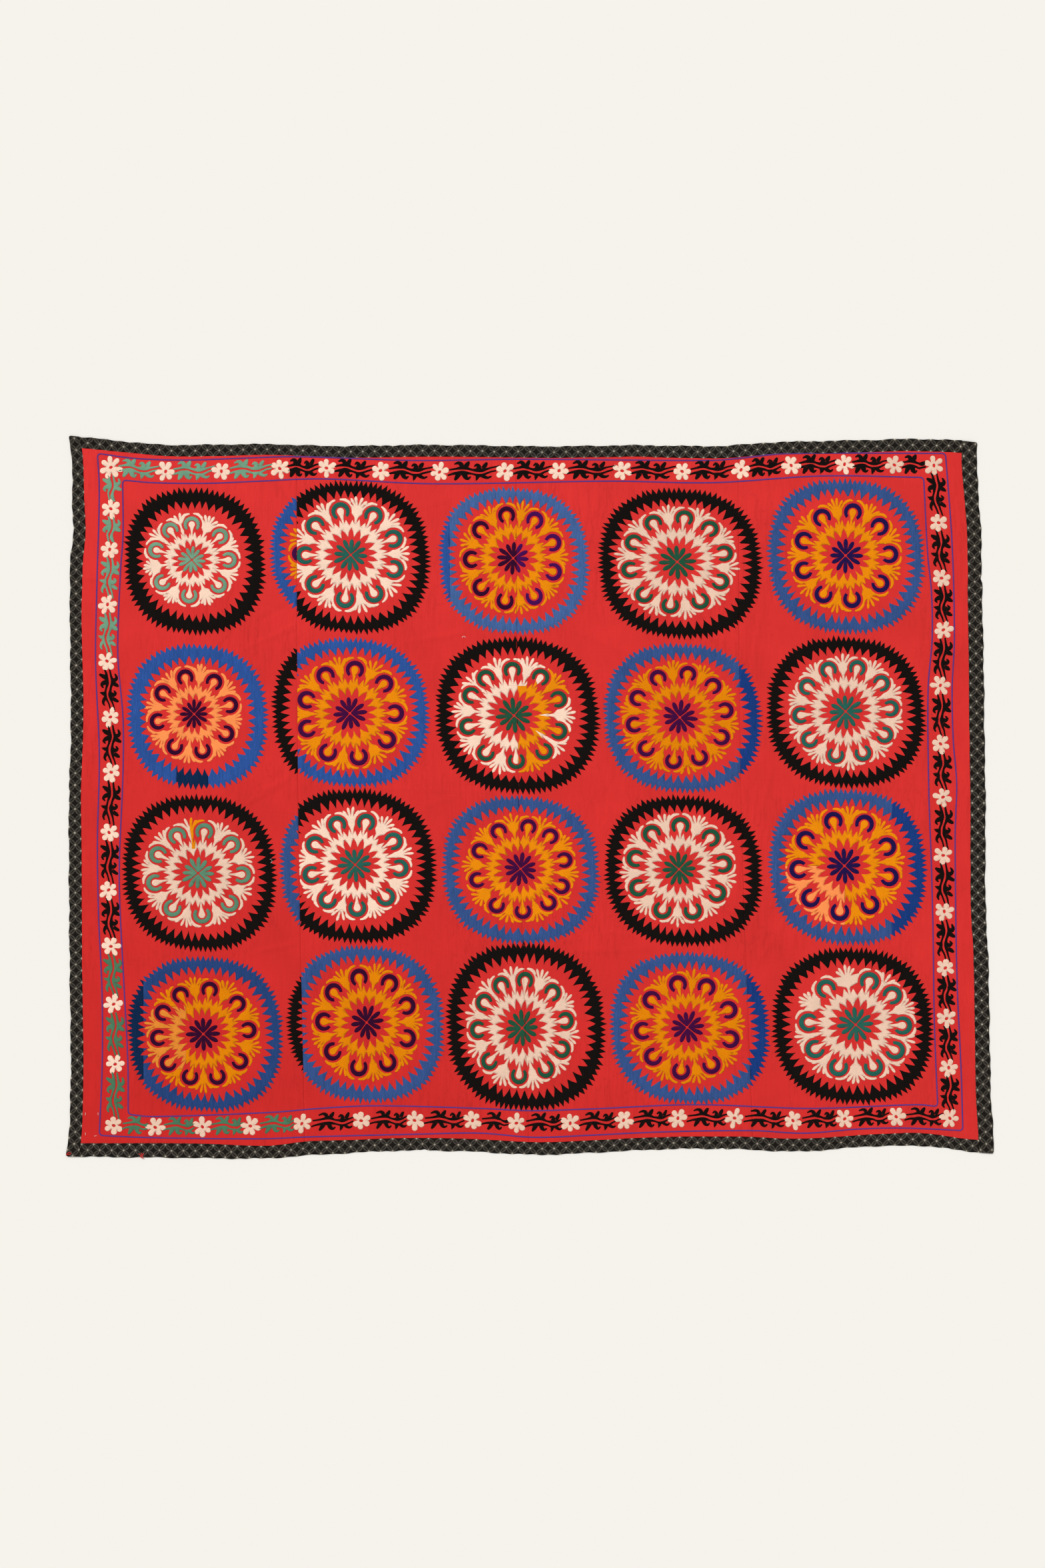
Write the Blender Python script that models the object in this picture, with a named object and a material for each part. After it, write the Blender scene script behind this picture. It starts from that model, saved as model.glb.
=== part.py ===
"""A suzani: four strips of red cotton sewn side by side, worked with twenty medallions in
a double-lined border of flowers, and bound with a dark printed strip. It lies flat, face up.

Metres, +Z up. The origin is on the surface under the middle of the cloth, +X runs along
the longer edge and +Y is the edge that is drawn at the top. Tables are in millimetres.
"""

import math

import bmesh
import bpy
from mathutils import Vector
from mathutils.geometry import delaunay_2d_cdt

MM = 0.001

# Thicknesses and heights
GAP = 0.3 * MM  # between pieces that are sewn together
CLOTH = 1.6 * MM  # red cotton with the threads on its back
RELIEF = 0.8 * MM  # how far the needlework stands above the cotton
SEAM_DIP = 0.5 * MM  # a panel's edge turns down at its seam
SEAM_ROLL = 6 * MM  # width of that turned edge
BINDING_CROWN = 2.8 * MM  # the folded strip at its middle
BINDING_SEAM = 1.7 * MM  # the same strip where it is sewn on
BINDING_ROUND = 3 * MM  # width of its rounded outer fold
BINDING_SEAM_SHARE = 0.2  # the part of its width that slopes down to the seam
BINDING_SHARES = (0.0, 0.03, 0.08, 0.3, 0.6, 0.8, 0.92, 1.0)  # points across its face
BINDING_HEEL = 0.04  # its under side starts this share in, below the rounded fold

# Steps along the pieces
SEAM_STEPS = 18
EDGE_STEPS = 22
EDGE_SPANS = {"top": 1260 * MM, "bottom": 1260 * MM, "left": 980 * MM, "right": 980 * MM}
MERGE = 0.05 * MM  # points nearer than this become one
SETTLE = 4  # rounds that find a corner where two wavering edges meet

# The cloth's outer edge, which wavers: rows of distance along a side and position across
EDGES = {
    "top": (
        (-1260, 978), (-1198, 971), (-1072, 958), (-982, 951), (-712, 953), (-532, 948),
        (-262, 951), (44, 947), (278, 950), (512, 948), (638, 957), (728, 960), (908, 964),
        (1034, 967), (1142, 964), (1215, 957),
    ),
    "bottom": (
        (-1260, -971), (-982, -974), (-712, -976), (-622, -969), (-532, -964), (-352, -955),
        (-172, -957), (8, -966), (98, -964), (368, -951), (548, -951), (728, -957),
        (908, -944), (998, -942), (1088, -944), (1178, -957), (1260, -964),
    ),
    "left": (
        (-977, -1254), (-890, -1245), (-728, -1241), (-548, -1243), (-368, -1245),
        (-188, -1246), (-8, -1246), (172, -1241), (442, -1243), (622, -1243), (712, -1235),
        (802, -1237), (928, -1239), (980, -1249),
    ),
    "right": (
        (-970, 1254), (-890, 1250), (-818, 1245), (-638, 1241), (-458, 1238), (-278, 1230),
        (-8, 1230), (172, 1227), (352, 1225), (532, 1221), (712, 1218), (802, 1212),
        (892, 1207), (960, 1209),
    ),
}
BINDING_WIDTHS = {
    "top": (
        (-1260, 30), (-1063, 28), (-874, 31), (-712, 28), (-442, 31), (0, 30), (530, 32),
        (800, 33), (1215, 32),
    ),
    "bottom": (
        (-1260, 35), (-982, 38), (-874, 38), (-712, 33), (-604, 37), (-442, 33), (0, 33),
        (476, 32), (638, 34), (908, 31), (1016, 34), (1124, 32), (1260, 34),
    ),
    "left": (
        (-980, 34), (-692, 33), (-125, 33), (37, 31), (280, 33), (442, 31), (604, 33),
        (766, 32), (980, 28),
    ),
    "right": ((-970, 40), (-530, 39), (199, 40), (523, 38), (766, 37), (960, 42)),
}
INWARD = {"top": -1, "bottom": 1, "left": 1, "right": -1}

# The three seams lean a little: height along the cloth and place across it
SEAMS = (
    ((-940, -609), (0, -627), (940, -631)),
    ((-940, -3), (0, -30), (940, -39)),
    ((-940, 602), (0, 570), (940, 562)),
)
PANELS = 4

# Each medallion: middle, half width and half height, pods, turn of the first pod in degrees
# and the first and last panel that carry it
MEDALLION_COLUMNS = "x y half_x half_y pods turn first last"
MEDALLIONS = (
    (-908, 638, 189, 196, 8, 0, 1, 1),
    (-484, 649, 210, 205, 9, 21, 2, 2),
    (-46, 640, 203, 198, 9, 20, 2, 3),
    (403, 633, 220, 202, 10, 10, 3, 4),
    (851, 652, 212, 208, 9, 0, 4, 4),
    (-901, 220, 189, 194, 8, 13, 1, 1),
    (-487, 230, 212, 201, 9, 2, 2, 2),
    (-37, 223, 220, 210, 10, 19, 2, 3),
    (409, 216, 213, 201, 10, 8, 3, 4),
    (851, 231, 214, 203, 10, 4, 4, 4),
    (-896, -203, 207, 210, 9, -2, 1, 1),
    (-473, -184, 216, 208, 9, -6, 2, 2),
    (-28, -195, 212, 200, 10, 11, 2, 3),
    (412, -197, 213, 203, 9, 7, 3, 4),
    (855, -187, 213, 210, 9, 25, 4, 4),
    (-879, -638, 209, 209, 10, 3, 1, 1),
    (-444, -611, 209, 212, 9, 20, 2, 2),
    (-14, -618, 214, 225, 10, 9, 2, 3),
    (428, -622, 215, 205, 9, 23, 3, 4),
    (869, -616, 217, 210, 9, 0, 4, 4),
)
# Rings that were cut off when the first two strips were joined; no pods are left on them
CUT_RINGS = (
    (-501, 657, 203, 185, 0, 0, 1, 1),
    (-496, 229, 202, 213, 0, 0, 1, 1),
    (-476, -193, 202, 203, 0, 0, 1, 1),
    (-456, -611, 202, 185, 0, 0, 1, 1),
)
SQUARENESS = 2.35  # 2 would be an ellipse
# A medallion's relief from its rim to its middle: share of its radius, height, points round it
RINGS = (
    (0.97, 0, 22), (0.92, 1, 22), (0.80, 1, 20), (0.765, 0, 20), (0.73, 1, 20),
    (0.40, 1, 12), (0.31, 0, 12), (0.22, 1, 8),
)
POD_RADIUS = 0.58  # share of the medallion's radius
POD_SIZE = 0.13
POD_CORNERS = 5

# The border's two chain-stitched lines: rows as for the edges
LINE_WIDTH = 9 * MM
LINE_STEP = 120 * MM
LINES = {
    "outer": {
        "top": (
            (-1169, 928), (-1063, 914), (-924, 910), (-777, 915), (-631, 919), (-318, 909),
            (-39, 912), (494, 909), (568, 915), (692, 927), (1122, 928),
        ),
        "bottom": (
            (-1164, -914), (-1023, -920), (-726, -923), (-600, -918), (-278, -910),
            (-134, -908), (10, -919), (152, -914), (345, -905), (600, -901), (741, -908),
            (883, -897), (1005, -894), (1169, -901),
        ),
        "left": (
            (-914, -1164), (-714, -1156), (-516, -1157), (-318, -1166), (-120, -1169),
            (114, -1164), (361, -1174), (555, -1171), (827, -1164), (928, -1169),
        ),
        "right": (
            (-901, 1169), (-735, 1164), (-490, 1153), (-111, 1148), (37, 1152), (152, 1143),
            (292, 1140), (428, 1146), (680, 1140), (928, 1122),
        ),
    },
    "inner": {
        "top": (
            (-1101, 856), (-1023, 849), (-876, 847), (-751, 852), (-564, 859), (-267, 846),
            (213, 853), (494, 849), (789, 867), (1063, 863),
        ),
        "bottom": (
            (-1086, -857), (-1023, -863), (-703, -852), (-568, -841), (-424, -834),
            (-134, -841), (-4, -847), (152, -843), (442, -831), (760, -841), (1045, -831),
            (1101, -836),
        ),
        "left": (
            (-857, -1086), (-714, -1087), (-516, -1097), (-219, -1110), (66, -1100),
            (213, -1100), (386, -1114), (606, -1107), (705, -1100), (856, -1101),
        ),
        "right": (
            (-836, 1101), (-613, 1092), (-345, 1088), (-157, 1083), (13, 1077), (292, 1075),
            (428, 1086), (555, 1084), (654, 1074), (863, 1063),
        ),
    },
}
# Flowers stand midway between the lines: distance along each side, the corners first
FLOWER_RADIUS = 29 * MM
FLOWER_WAIST = 0.55
PETALS = 6
FLOWERS = {
    "top": (
        -1133, 1090, -985, -834, -676, -550, -404, -244, -67, 78, 249, 411, 570, 705, 849, 984,
    ),
    "bottom": (
        -1125, 1133, -1012, -885, -755, -616, -456, -312, -156, -37, 109, 253, 399, 552, 710,
        849, 989,
    ),
    "left": (778, 668, 520, 366, 215, 66, -96, -252, -403, -559, -721),
    "right": (741, 591, 451, 301, 143, -1, -157, -310, -461, -598, -731),
}

# Soft folds that are left in the cotton: middle, length, direction in degrees, width, height
FOLDS = (
    (-300, 20, 520, 0, 9, 0.6),
    (-720, 8, 130, 36, 14, 1.0),
    (-700, 30, 110, 30, 12, 0.8),
    (-705, 430, 150, 28, 14, 1.0),
    (-262, 430, 170, 14, 16, 0.9),
    (612, 420, 260, 84, 14, 1.0),
    (640, 20, 190, 80, 14, 0.9),
    (180, 424, 150, -20, 14, 0.7),
    (-235, -400, 130, -24, 14, 0.9),
    (-690, -408, 130, 18, 14, 0.9),
    (210, -414, 220, 4, 12, 0.7),
    (640, -410, 150, 62, 12, 0.8),
    (1176, 560, 300, 84, 10, 0.8),
    (1180, -60, 260, 93, 10, 0.8),
    (-1190, 590, 36, 2, 9, 0.9),
    (-1190, 120, 36, -6, 9, 0.8),
)

COLOURS = {
    "panel": (0.62, 0.032, 0.028),
    "binding": (0.016, 0.014, 0.012),
}
COTTON_ROUGHNESS = 0.9


def smooth(rows, along):
    """The value at a distance along of the smooth curve through the rows, in millimetres."""
    last = len(rows) - 1
    k = 0
    while k < last - 1 and along > rows[k + 1][0]:
        k += 1
    (x0, y0), (x1, y1) = rows[k], rows[k + 1]
    before, after = rows[max(k - 1, 0)], rows[min(k + 2, last)]
    slope0 = (y1 - before[1]) / (x1 - before[0])
    slope1 = (after[1] - y0) / (after[0] - x0)
    span = x1 - x0
    t = min(max((along - x0) / span, 0.0), 1.0)
    rise = t * t * (3 - 2 * t)
    bend0 = t * (1 - t) ** 2 * span * slope0
    bend1 = -t * t * (1 - t) * span * slope1
    return y0 + (y1 - y0) * rise + bend0 + bend1


def stations(side, start, end):
    """The places between start and end where a side's edges have a corner."""
    step = 2 * EDGE_SPANS[side] / EDGE_STEPS
    places = [k * step - EDGE_SPANS[side] for k in range(EDGE_STEPS + 1)]
    return [place for place in places if start + MM < place < end - MM]


def straight_between(side, along, curve):
    """A curve's value on the straight pieces between a side's stations."""
    step = 2 * EDGE_SPANS[side] / EDGE_STEPS
    k = math.floor((along + EDGE_SPANS[side]) / step)
    near = k * step - EDGE_SPANS[side]
    t = (along - near) / step
    return curve(near) * (1 - t) + curve(near + step) * t


def outer_edge(side, along):
    return straight_between(side, along, lambda place: smooth(EDGES[side], place / MM) * MM)


def binding_width(side, along):
    return smooth(BINDING_WIDTHS[side], along / MM) * MM


def inner_edge(side, along):
    """Where the binding is sewn to the panels."""
    width = straight_between(side, along, lambda place: binding_width(side, place))
    return outer_edge(side, along) + INWARD[side] * width


def seam(number, y):
    return smooth(SEAMS[number], y / MM) * MM


def panel_side(number, direction, y):
    """The left (-1) or right (+1) edge of panel 1 to 4 at height y, a gap from its neighbour."""
    if number == 1 and direction < 0:
        return inner_edge("left", y) + GAP
    if number == PANELS and direction > 0:
        return inner_edge("right", y) - GAP
    return seam(number - 1 + (direction - 1) // 2, y) - direction * GAP / 2


def panel_end(side, x):
    return inner_edge(side, x) + INWARD[side] * GAP


def panel_corner(number, direction, side):
    """The point where a panel's side meets its top or bottom edge."""
    y = panel_end(side, panel_side(number, direction, 0))
    for _ in range(SETTLE):
        x = panel_side(number, direction, y)
        y = panel_end(side, x)
    return x, y


def panel_side_points(number, direction, low, high):
    """A panel's side from its lower corner up to just before its upper one."""
    if (number, direction) in ((1, -1), (PANELS, 1)):
        places = stations("left", low[1], high[1])
    else:
        places = [low[1] + (high[1] - low[1]) * k / SEAM_STEPS for k in range(1, SEAM_STEPS)]
    return [low] + [(panel_side(number, direction, y), y) for y in places]


def panel_outline(number):
    """The panel's edge, counterclockwise from its bottom left corner."""
    left_low = panel_corner(number, -1, "bottom")
    right_low = panel_corner(number, 1, "bottom")
    right_high = panel_corner(number, 1, "top")
    left_high = panel_corner(number, -1, "top")
    bottom = [(x, panel_end("bottom", x)) for x in stations("bottom", left_low[0], right_low[0])]
    top = [(x, panel_end("top", x)) for x in stations("top", left_high[0], right_high[0])]
    right = panel_side_points(number, 1, right_low, right_high)
    left = panel_side_points(number, -1, left_low, left_high)
    return [left_low] + bottom + right + [right_high] + top[::-1] + [left_high] + left[:0:-1]


def medallions_of(number):
    """The medallions and cut rings on a panel, as dictionaries with sizes in metres."""
    found = []
    for row in MEDALLIONS + CUT_RINGS:
        medallion = dict(zip(MEDALLION_COLUMNS.split(), row))
        for size in ("x", "y", "half_x", "half_y"):
            medallion[size] *= MM
        if medallion["first"] <= number <= medallion["last"]:
            found.append(medallion)
    return found


def medallion_point(medallion, share, angle):
    """The point at a share of the medallion's radius, in a direction given in radians."""
    c, s = math.cos(angle), math.sin(angle)
    reach = share / (abs(c) ** SQUARENESS + abs(s) ** SQUARENESS) ** (1 / SQUARENESS)
    return (
        medallion["x"] + medallion["half_x"] * reach * c,
        medallion["y"] + medallion["half_y"] * reach * s,
    )


def pod_centres(medallion):
    """Each pod's middle and the direction in which it lies."""
    for k in range(medallion["pods"]):
        angle = math.radians(medallion["turn"]) + math.tau * k / medallion["pods"]
        yield medallion_point(medallion, POD_RADIUS, angle), angle


def pod_size(medallion):
    return POD_SIZE * (medallion["half_x"] + medallion["half_y"]) / 2


def pod_reach(offset, turn):
    """How far a pod's pentagon reaches in the offset's direction, as a share of its size."""
    corner = math.tau / POD_CORNERS
    away = (math.atan2(offset[1], offset[0]) - turn) % corner - corner / 2
    return math.cos(corner / 2) / math.cos(away)


def medallion_rise(medallion, x, y):
    """The height of a medallion's needlework at a point, from 0 to 1."""
    u = abs(x - medallion["x"]) / medallion["half_x"]
    v = abs(y - medallion["y"]) / medallion["half_y"]
    share = (u**SQUARENESS + v**SQUARENESS) ** (1 / SQUARENESS)
    outer_share, outer_rise = 1.0, 0.0
    rise = 1.0
    for ring_share, ring_rise, _ in RINGS:
        if share > ring_share:
            t = (share - ring_share) / (outer_share - ring_share)
            rise = ring_rise + (outer_rise - ring_rise) * min(t, 1.0)
            break
        outer_share, outer_rise = ring_share, ring_rise
    if share >= 1.0:
        return 0.0
    for (pod_x, pod_y), turn in pod_centres(medallion):
        offset = (x - pod_x, y - pod_y)
        reach = math.hypot(*offset) / pod_size(medallion)
        if reach < 1.0:
            rise = min(rise, reach / pod_reach(offset, turn))
    return rise


def line_point(line, side, along):
    """A point of a border line, by its distance along a side."""
    across = smooth(LINES[line][side], along / MM) * MM
    return (along, across) if side in ("top", "bottom") else (across, along)


def line_ends(line, side):
    rows = LINES[line][side]
    return rows[0][0] * MM, rows[-1][0] * MM


def line_rise(x, y):
    """The height of the nearest border line at a point, from 0 to 1."""
    rise = 0.0
    for line, sides in LINES.items():
        for side in sides:
            along, across = (x, y) if side in ("top", "bottom") else (y, x)
            start, end = line_ends(line, side)
            if start - MM <= along <= end + MM:
                away = abs(across - smooth(LINES[line][side], along / MM) * MM)
                rise = max(rise, 1 - away / (LINE_WIDTH / 2))
    return rise


def flower_centres():
    """Each flower's middle, halfway between the two border lines."""
    for side, places in FLOWERS.items():
        for place in places:
            across = [line_point(line, side, place * MM) for line in LINES]
            yield tuple((a + b) / 2 for a, b in zip(*across))


def petal_reach(angle):
    """A flower's radius in a direction: petals with narrow waists between them."""
    wave = abs(math.cos(angle * PETALS / 2))
    return FLOWER_RADIUS * (FLOWER_WAIST + (1 - FLOWER_WAIST) * wave)


def flower_rise(centres, x, y):
    for cx, cy in centres:
        away = math.hypot(x - cx, y - cy)
        if away < FLOWER_RADIUS:
            return max(0.0, 1 - away / petal_reach(math.atan2(y - cy, x - cx)))
    return 0.0


def fold_frame(row):
    """A fold's middle, half length, direction and half width in metres, and its height."""
    x, y, length, degrees, width, height = row
    turn = math.radians(degrees)
    return x * MM, y * MM, length * MM / 2, (math.cos(turn), math.sin(turn)), width * MM, height * MM


def fold_rise(x, y):
    """The height of the soft folds at a point, in metres."""
    rise = 0.0
    for row in FOLDS:
        cx, cy, half, (c, s), width, height = fold_frame(row)
        along = abs((x - cx) * c + (y - cy) * s)
        across = abs((y - cy) * c - (x - cx) * s)
        taper = min(1.0, 2 * (1 - along / half))
        if taper > 0:
            rise = max(rise, height * taper * max(0.0, 1 - across / (width * taper)))
    return rise


def seam_dip(number, x, y):
    """How far a panel's long edges turn down at a point, in metres."""
    dip = 0.0
    for direction in (-1, 1):
        away = abs(x - panel_side(number, direction, y))
        dip = max(dip, SEAM_DIP * (1 - away / SEAM_ROLL))
    return dip


class Drawing:
    """Points and lines on a panel, which become the edges of its face."""

    def __init__(self):
        self.points = []
        self.lines = []

    def line(self, points, closed=False):
        start = len(self.points)
        self.points.extend(Vector(p) for p in points)
        count = len(points)
        self.lines.extend((start + k, start + k + 1) for k in range(count - 1))
        if closed:
            self.lines.append((start + count - 1, start))
        return list(range(start, start + count))


def draw_medallion(drawing, medallion):
    for ring_share, _, count in RINGS:
        if medallion["pods"] == 0 and ring_share < RINGS[3][0]:
            break
        loop = [
            medallion_point(medallion, ring_share, math.tau * (k + 0.5) / count)
            for k in range(count)
        ]
        drawing.line(loop, closed=True)
    for (x, y), turn in pod_centres(medallion):
        corners = [turn + math.tau * k / POD_CORNERS for k in range(POD_CORNERS)]
        size = pod_size(medallion)
        loop = [(x + size * math.cos(a), y + size * math.sin(a)) for a in corners]
        drawing.line(loop, closed=True)
        drawing.line([(x, y)])


def draw_border_lines(drawing, low_x, high_x):
    """The crest and both feet of each border line, where it crosses this panel."""
    for line, sides in LINES.items():
        for side in sides:
            start, end = line_ends(line, side)
            if side in ("top", "bottom"):
                start, end = max(start, low_x), min(end, high_x)
            elif not low_x < line_point(line, side, 0)[0] < high_x:
                continue
            count = max(2, round((end - start) / LINE_STEP))
            for offset in (-LINE_WIDTH / 2, 0, LINE_WIDTH / 2):
                row = []
                for k in range(count + 1):
                    x, y = line_point(line, side, start + (end - start) * k / count)
                    row.append((x, y + offset) if side in ("top", "bottom") else (x + offset, y))
                drawing.line(row)


def draw_flower(drawing, centre):
    count = 2 * PETALS
    loop = []
    for k in range(count):
        angle = math.tau * k / count
        reach = petal_reach(angle)
        loop.append((centre[0] + reach * math.cos(angle), centre[1] + reach * math.sin(angle)))
    drawing.line(loop, closed=True)
    drawing.line([centre])


def draw_fold(drawing, row):
    cx, cy, half, (c, s), width, _ = fold_frame(row)

    def place(along, across):
        return (cx + along * half * c - across * width * s, cy + along * half * s + across * width * c)

    drawing.line([place(-1, 0), place(-0.5, 1), place(0.5, 1), place(1, 0)])
    drawing.line([place(-1, 0), place(-0.5, 0), place(0.5, 0), place(1, 0)])
    drawing.line([place(-1, 0), place(-0.5, -1), place(0.5, -1), place(1, 0)])


def draw_panel(number):
    """Everything that shapes a panel's face, with the panel's outline as the first lines."""
    outline = panel_outline(number)
    drawing = Drawing()
    edge = drawing.line(outline, closed=True)
    low_x = min(x for x, _ in outline)
    high_x = max(x for x, _ in outline)
    top = panel_end("top", (low_x + high_x) / 2)
    bottom = panel_end("bottom", (low_x + high_x) / 2)
    for direction in (-1, 1):
        roll = []
        for k in range(SEAM_STEPS + 1):
            y = bottom + (top - bottom) * k / SEAM_STEPS
            roll.append((panel_side(number, direction, y) - direction * SEAM_ROLL, y))
        drawing.line(roll)
    for medallion in medallions_of(number):
        draw_medallion(drawing, medallion)
    draw_border_lines(drawing, low_x, high_x)
    for centre in flower_centres():
        if low_x - FLOWER_RADIUS < centre[0] < high_x + FLOWER_RADIUS:
            draw_flower(drawing, centre)
    for row in FOLDS:
        if low_x < row[0] * MM < high_x:
            draw_fold(drawing, row)
    return drawing, edge


def panel_height(number, medallions, flowers, x, y):
    rise = max(
        [medallion_rise(medallion, x, y) for medallion in medallions]
        + [line_rise(x, y), flower_rise(flowers, x, y)]
    )
    return CLOTH + RELIEF * rise + fold_rise(x, y) - seam_dip(number, x, y)


def make_panel(number):
    """A strip of cotton with a flat back and the relief of its needlework on its face."""
    drawing, edge = draw_panel(number)
    points, _, faces, _, _, owners = delaunay_2d_cdt(
        drawing.points, drawing.lines, [edge], 0, MERGE
    )
    medallions = medallions_of(number)
    flowers = list(flower_centres())
    bm = bmesh.new()
    corners = [
        bm.verts.new((p.x, p.y, panel_height(number, medallions, flowers, p.x, p.y)))
        for p in points
    ]
    for face, owner in zip(faces, owners):
        if owner:
            bm.faces.new([corners[k] for k in face])
    bmesh.ops.delete(bm, geom=[v for v in bm.verts if not v.link_faces], context="VERTS")
    rim = [e for e in bm.edges if e.is_boundary]
    wall = bmesh.ops.extrude_edge_only(bm, edges=rim)["geom"]
    for v in wall:
        if isinstance(v, bmesh.types.BMVert):
            v.co.z = 0.0
    floor_rim = [e for e in wall if isinstance(e, bmesh.types.BMEdge) and e.is_boundary]
    bmesh.ops.contextual_create(bm, geom=floor_rim)
    bmesh.ops.recalc_face_normals(bm, faces=bm.faces[:])
    return add_object(f"panel_{number}", bm, "panel")


def binding_height(share, width):
    """The height of the folded strip's face at a share of its width from the outer edge."""
    away = share * width
    outer = min(1.0, away / BINDING_ROUND)
    rounded = BINDING_CROWN * (0.5 + 0.5 * math.sin(outer * math.pi / 2))
    inner = max(0.0, 1 - (1 - share) / BINDING_SEAM_SHARE)
    return rounded - (BINDING_CROWN - BINDING_SEAM) * inner


def binding_point(side, along, across):
    """A point of the strip at a place along its side and a share across from outer to inner."""
    outer, inner = outer_edge(side, along), inner_edge(side, along)
    place = outer + (inner - outer) * across
    return (along, place) if side in ("top", "bottom") else (place, along)


def binding_end(side, direction, across):
    """How far the strip reaches at one end: the upright ones run the cloth's full height."""
    along = direction * EDGE_SPANS[side]
    for _ in range(SETTLE):
        x, y = binding_point(side, along, across)
        if side in ("top", "bottom"):
            along = inner_edge("left" if direction < 0 else "right", y) - direction * GAP
        else:
            along = outer_edge("bottom" if direction < 0 else "top", x)
    return along


def make_binding(side):
    """A printed strip folded over on itself, lofted along the edge that it binds."""
    start = max(binding_end(side, -1, share) for share in (0, 1))
    end = min(binding_end(side, 1, share) for share in (0, 1))
    bm = bmesh.new()
    rings = []
    for place in [None] + stations(side, start, end) + [None]:
        direction = -1 if not rings else 1
        ring = []
        for share in BINDING_SHARES + (1.0, BINDING_HEEL):
            along = binding_end(side, direction, share) if place is None else place
            x, y = binding_point(side, along, share)
            under = len(ring) >= len(BINDING_SHARES)
            z = 0.0 if under else binding_height(share, binding_width(side, along))
            ring.append(bm.verts.new((x, y, z)))
        rings.append(ring)
    for near, far in zip(rings, rings[1:]):
        for k in range(len(near)):
            j = (k + 1) % len(near)
            bm.faces.new((near[k], near[j], far[j], far[k]))
    bm.faces.new(rings[0])
    bm.faces.new(rings[-1][::-1])
    bmesh.ops.recalc_face_normals(bm, faces=bm.faces[:])
    return add_object(f"binding_{side}", bm, "binding")


def cotton(name, kind):
    material = bpy.data.materials.new(name)
    material.use_nodes = True
    shader = material.node_tree.nodes["Principled BSDF"]
    shader.inputs["Base Color"].default_value = (*COLOURS[kind], 1.0)
    shader.inputs["Roughness"].default_value = COTTON_ROUGHNESS
    shader.inputs["Metallic"].default_value = 0.0
    material.diffuse_color = (*COLOURS[kind], 1.0)
    return material


def add_object(name, bm, kind):
    mesh = bpy.data.meshes.new(name)
    bm.to_mesh(mesh)
    bm.free()
    mesh.materials.append(cotton(f"{name}_cotton", kind))
    piece = bpy.data.objects.new(name, mesh)
    bpy.data.collections["suzani"].objects.link(piece)
    return piece


def main():
    for old in list(bpy.data.objects):
        bpy.data.objects.remove(old, do_unlink=True)
    collection = bpy.data.collections.new("suzani")
    bpy.context.scene.collection.children.link(collection)
    for number in range(1, PANELS + 1):
        make_panel(number)
    for side in EDGES:
        make_binding(side)


main()
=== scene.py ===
"""The looks of the suzani: red cotton strips, stitched medallions, a border of vines and
flowers between two chain-stitched lines, and a printed binding. It lies flat, face up.

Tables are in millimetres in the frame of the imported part: +X to the right, +Y up the cloth.
Geometry is in metres.
"""

import math
import random

import bpy
import numpy as np
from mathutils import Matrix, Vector
from mathutils.geometry import delaunay_2d_cdt

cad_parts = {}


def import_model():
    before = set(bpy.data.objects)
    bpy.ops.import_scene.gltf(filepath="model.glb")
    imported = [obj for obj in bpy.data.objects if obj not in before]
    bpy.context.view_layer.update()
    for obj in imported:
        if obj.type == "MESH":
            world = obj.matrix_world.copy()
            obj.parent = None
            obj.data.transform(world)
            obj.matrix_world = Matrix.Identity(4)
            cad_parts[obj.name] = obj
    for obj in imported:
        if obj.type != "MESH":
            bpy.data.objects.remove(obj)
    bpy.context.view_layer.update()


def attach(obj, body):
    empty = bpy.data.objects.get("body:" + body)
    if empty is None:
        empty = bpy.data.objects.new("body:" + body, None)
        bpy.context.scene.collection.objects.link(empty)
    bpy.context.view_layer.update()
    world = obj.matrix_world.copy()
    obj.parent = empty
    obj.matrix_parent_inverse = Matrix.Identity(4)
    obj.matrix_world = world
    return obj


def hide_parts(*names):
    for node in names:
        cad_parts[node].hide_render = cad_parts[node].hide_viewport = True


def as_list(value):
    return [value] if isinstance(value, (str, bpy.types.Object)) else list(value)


MM = 0.001
BODY = "root"
chance = random.Random(417)

# Thicknesses and heights of the cloth
GAP = 0.1 * MM
CLOTH = 1.6 * MM
SEAM_DIPS = ((0.5 * MM, 4 * MM), (0.7 * MM, 1.2 * MM))  # depth and half width
LEAST = 0.5 * MM  # the cotton is nowhere thinner
GRID = 6 * MM  # cells of the cotton
SETTLE = 4
SIDE_ROWS = (0.8 * MM, 1.8 * MM, 3.6 * MM)  # finer cells beside the seams
END_ROWS = (2 * MM,)
CURVE_POINTS = 400
BATCH = 400  # points that are measured at a time

# The cloth's outer edge: rows of distance along a side and position across
EDGES = {
    "top": (
        (-1260, 978), (-1198, 971), (-1072, 958), (-982, 951), (-712, 953), (-532, 948),
        (-262, 951), (44, 947), (278, 950), (512, 948), (638, 957), (728, 960), (908, 964),
        (1034, 967), (1142, 964), (1215, 957),
    ),
    "bottom": (
        (-1260, -971), (-982, -974), (-712, -976), (-622, -969), (-532, -964), (-352, -955),
        (-172, -957), (8, -966), (98, -964), (368, -951), (548, -951), (728, -957),
        (908, -944), (998, -942), (1088, -944), (1178, -957), (1260, -964),
    ),
    "left": (
        (-977, -1254), (-890, -1245), (-728, -1241), (-548, -1243), (-368, -1245),
        (-188, -1246), (-8, -1246), (172, -1241), (442, -1243), (622, -1243), (712, -1235),
        (802, -1237), (928, -1239), (980, -1249),
    ),
    "right": (
        (-970, 1254), (-890, 1250), (-818, 1245), (-638, 1241), (-458, 1238), (-278, 1230),
        (-8, 1230), (172, 1227), (352, 1225), (532, 1221), (712, 1218), (802, 1212),
        (892, 1207), (960, 1209),
    ),
}
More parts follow.
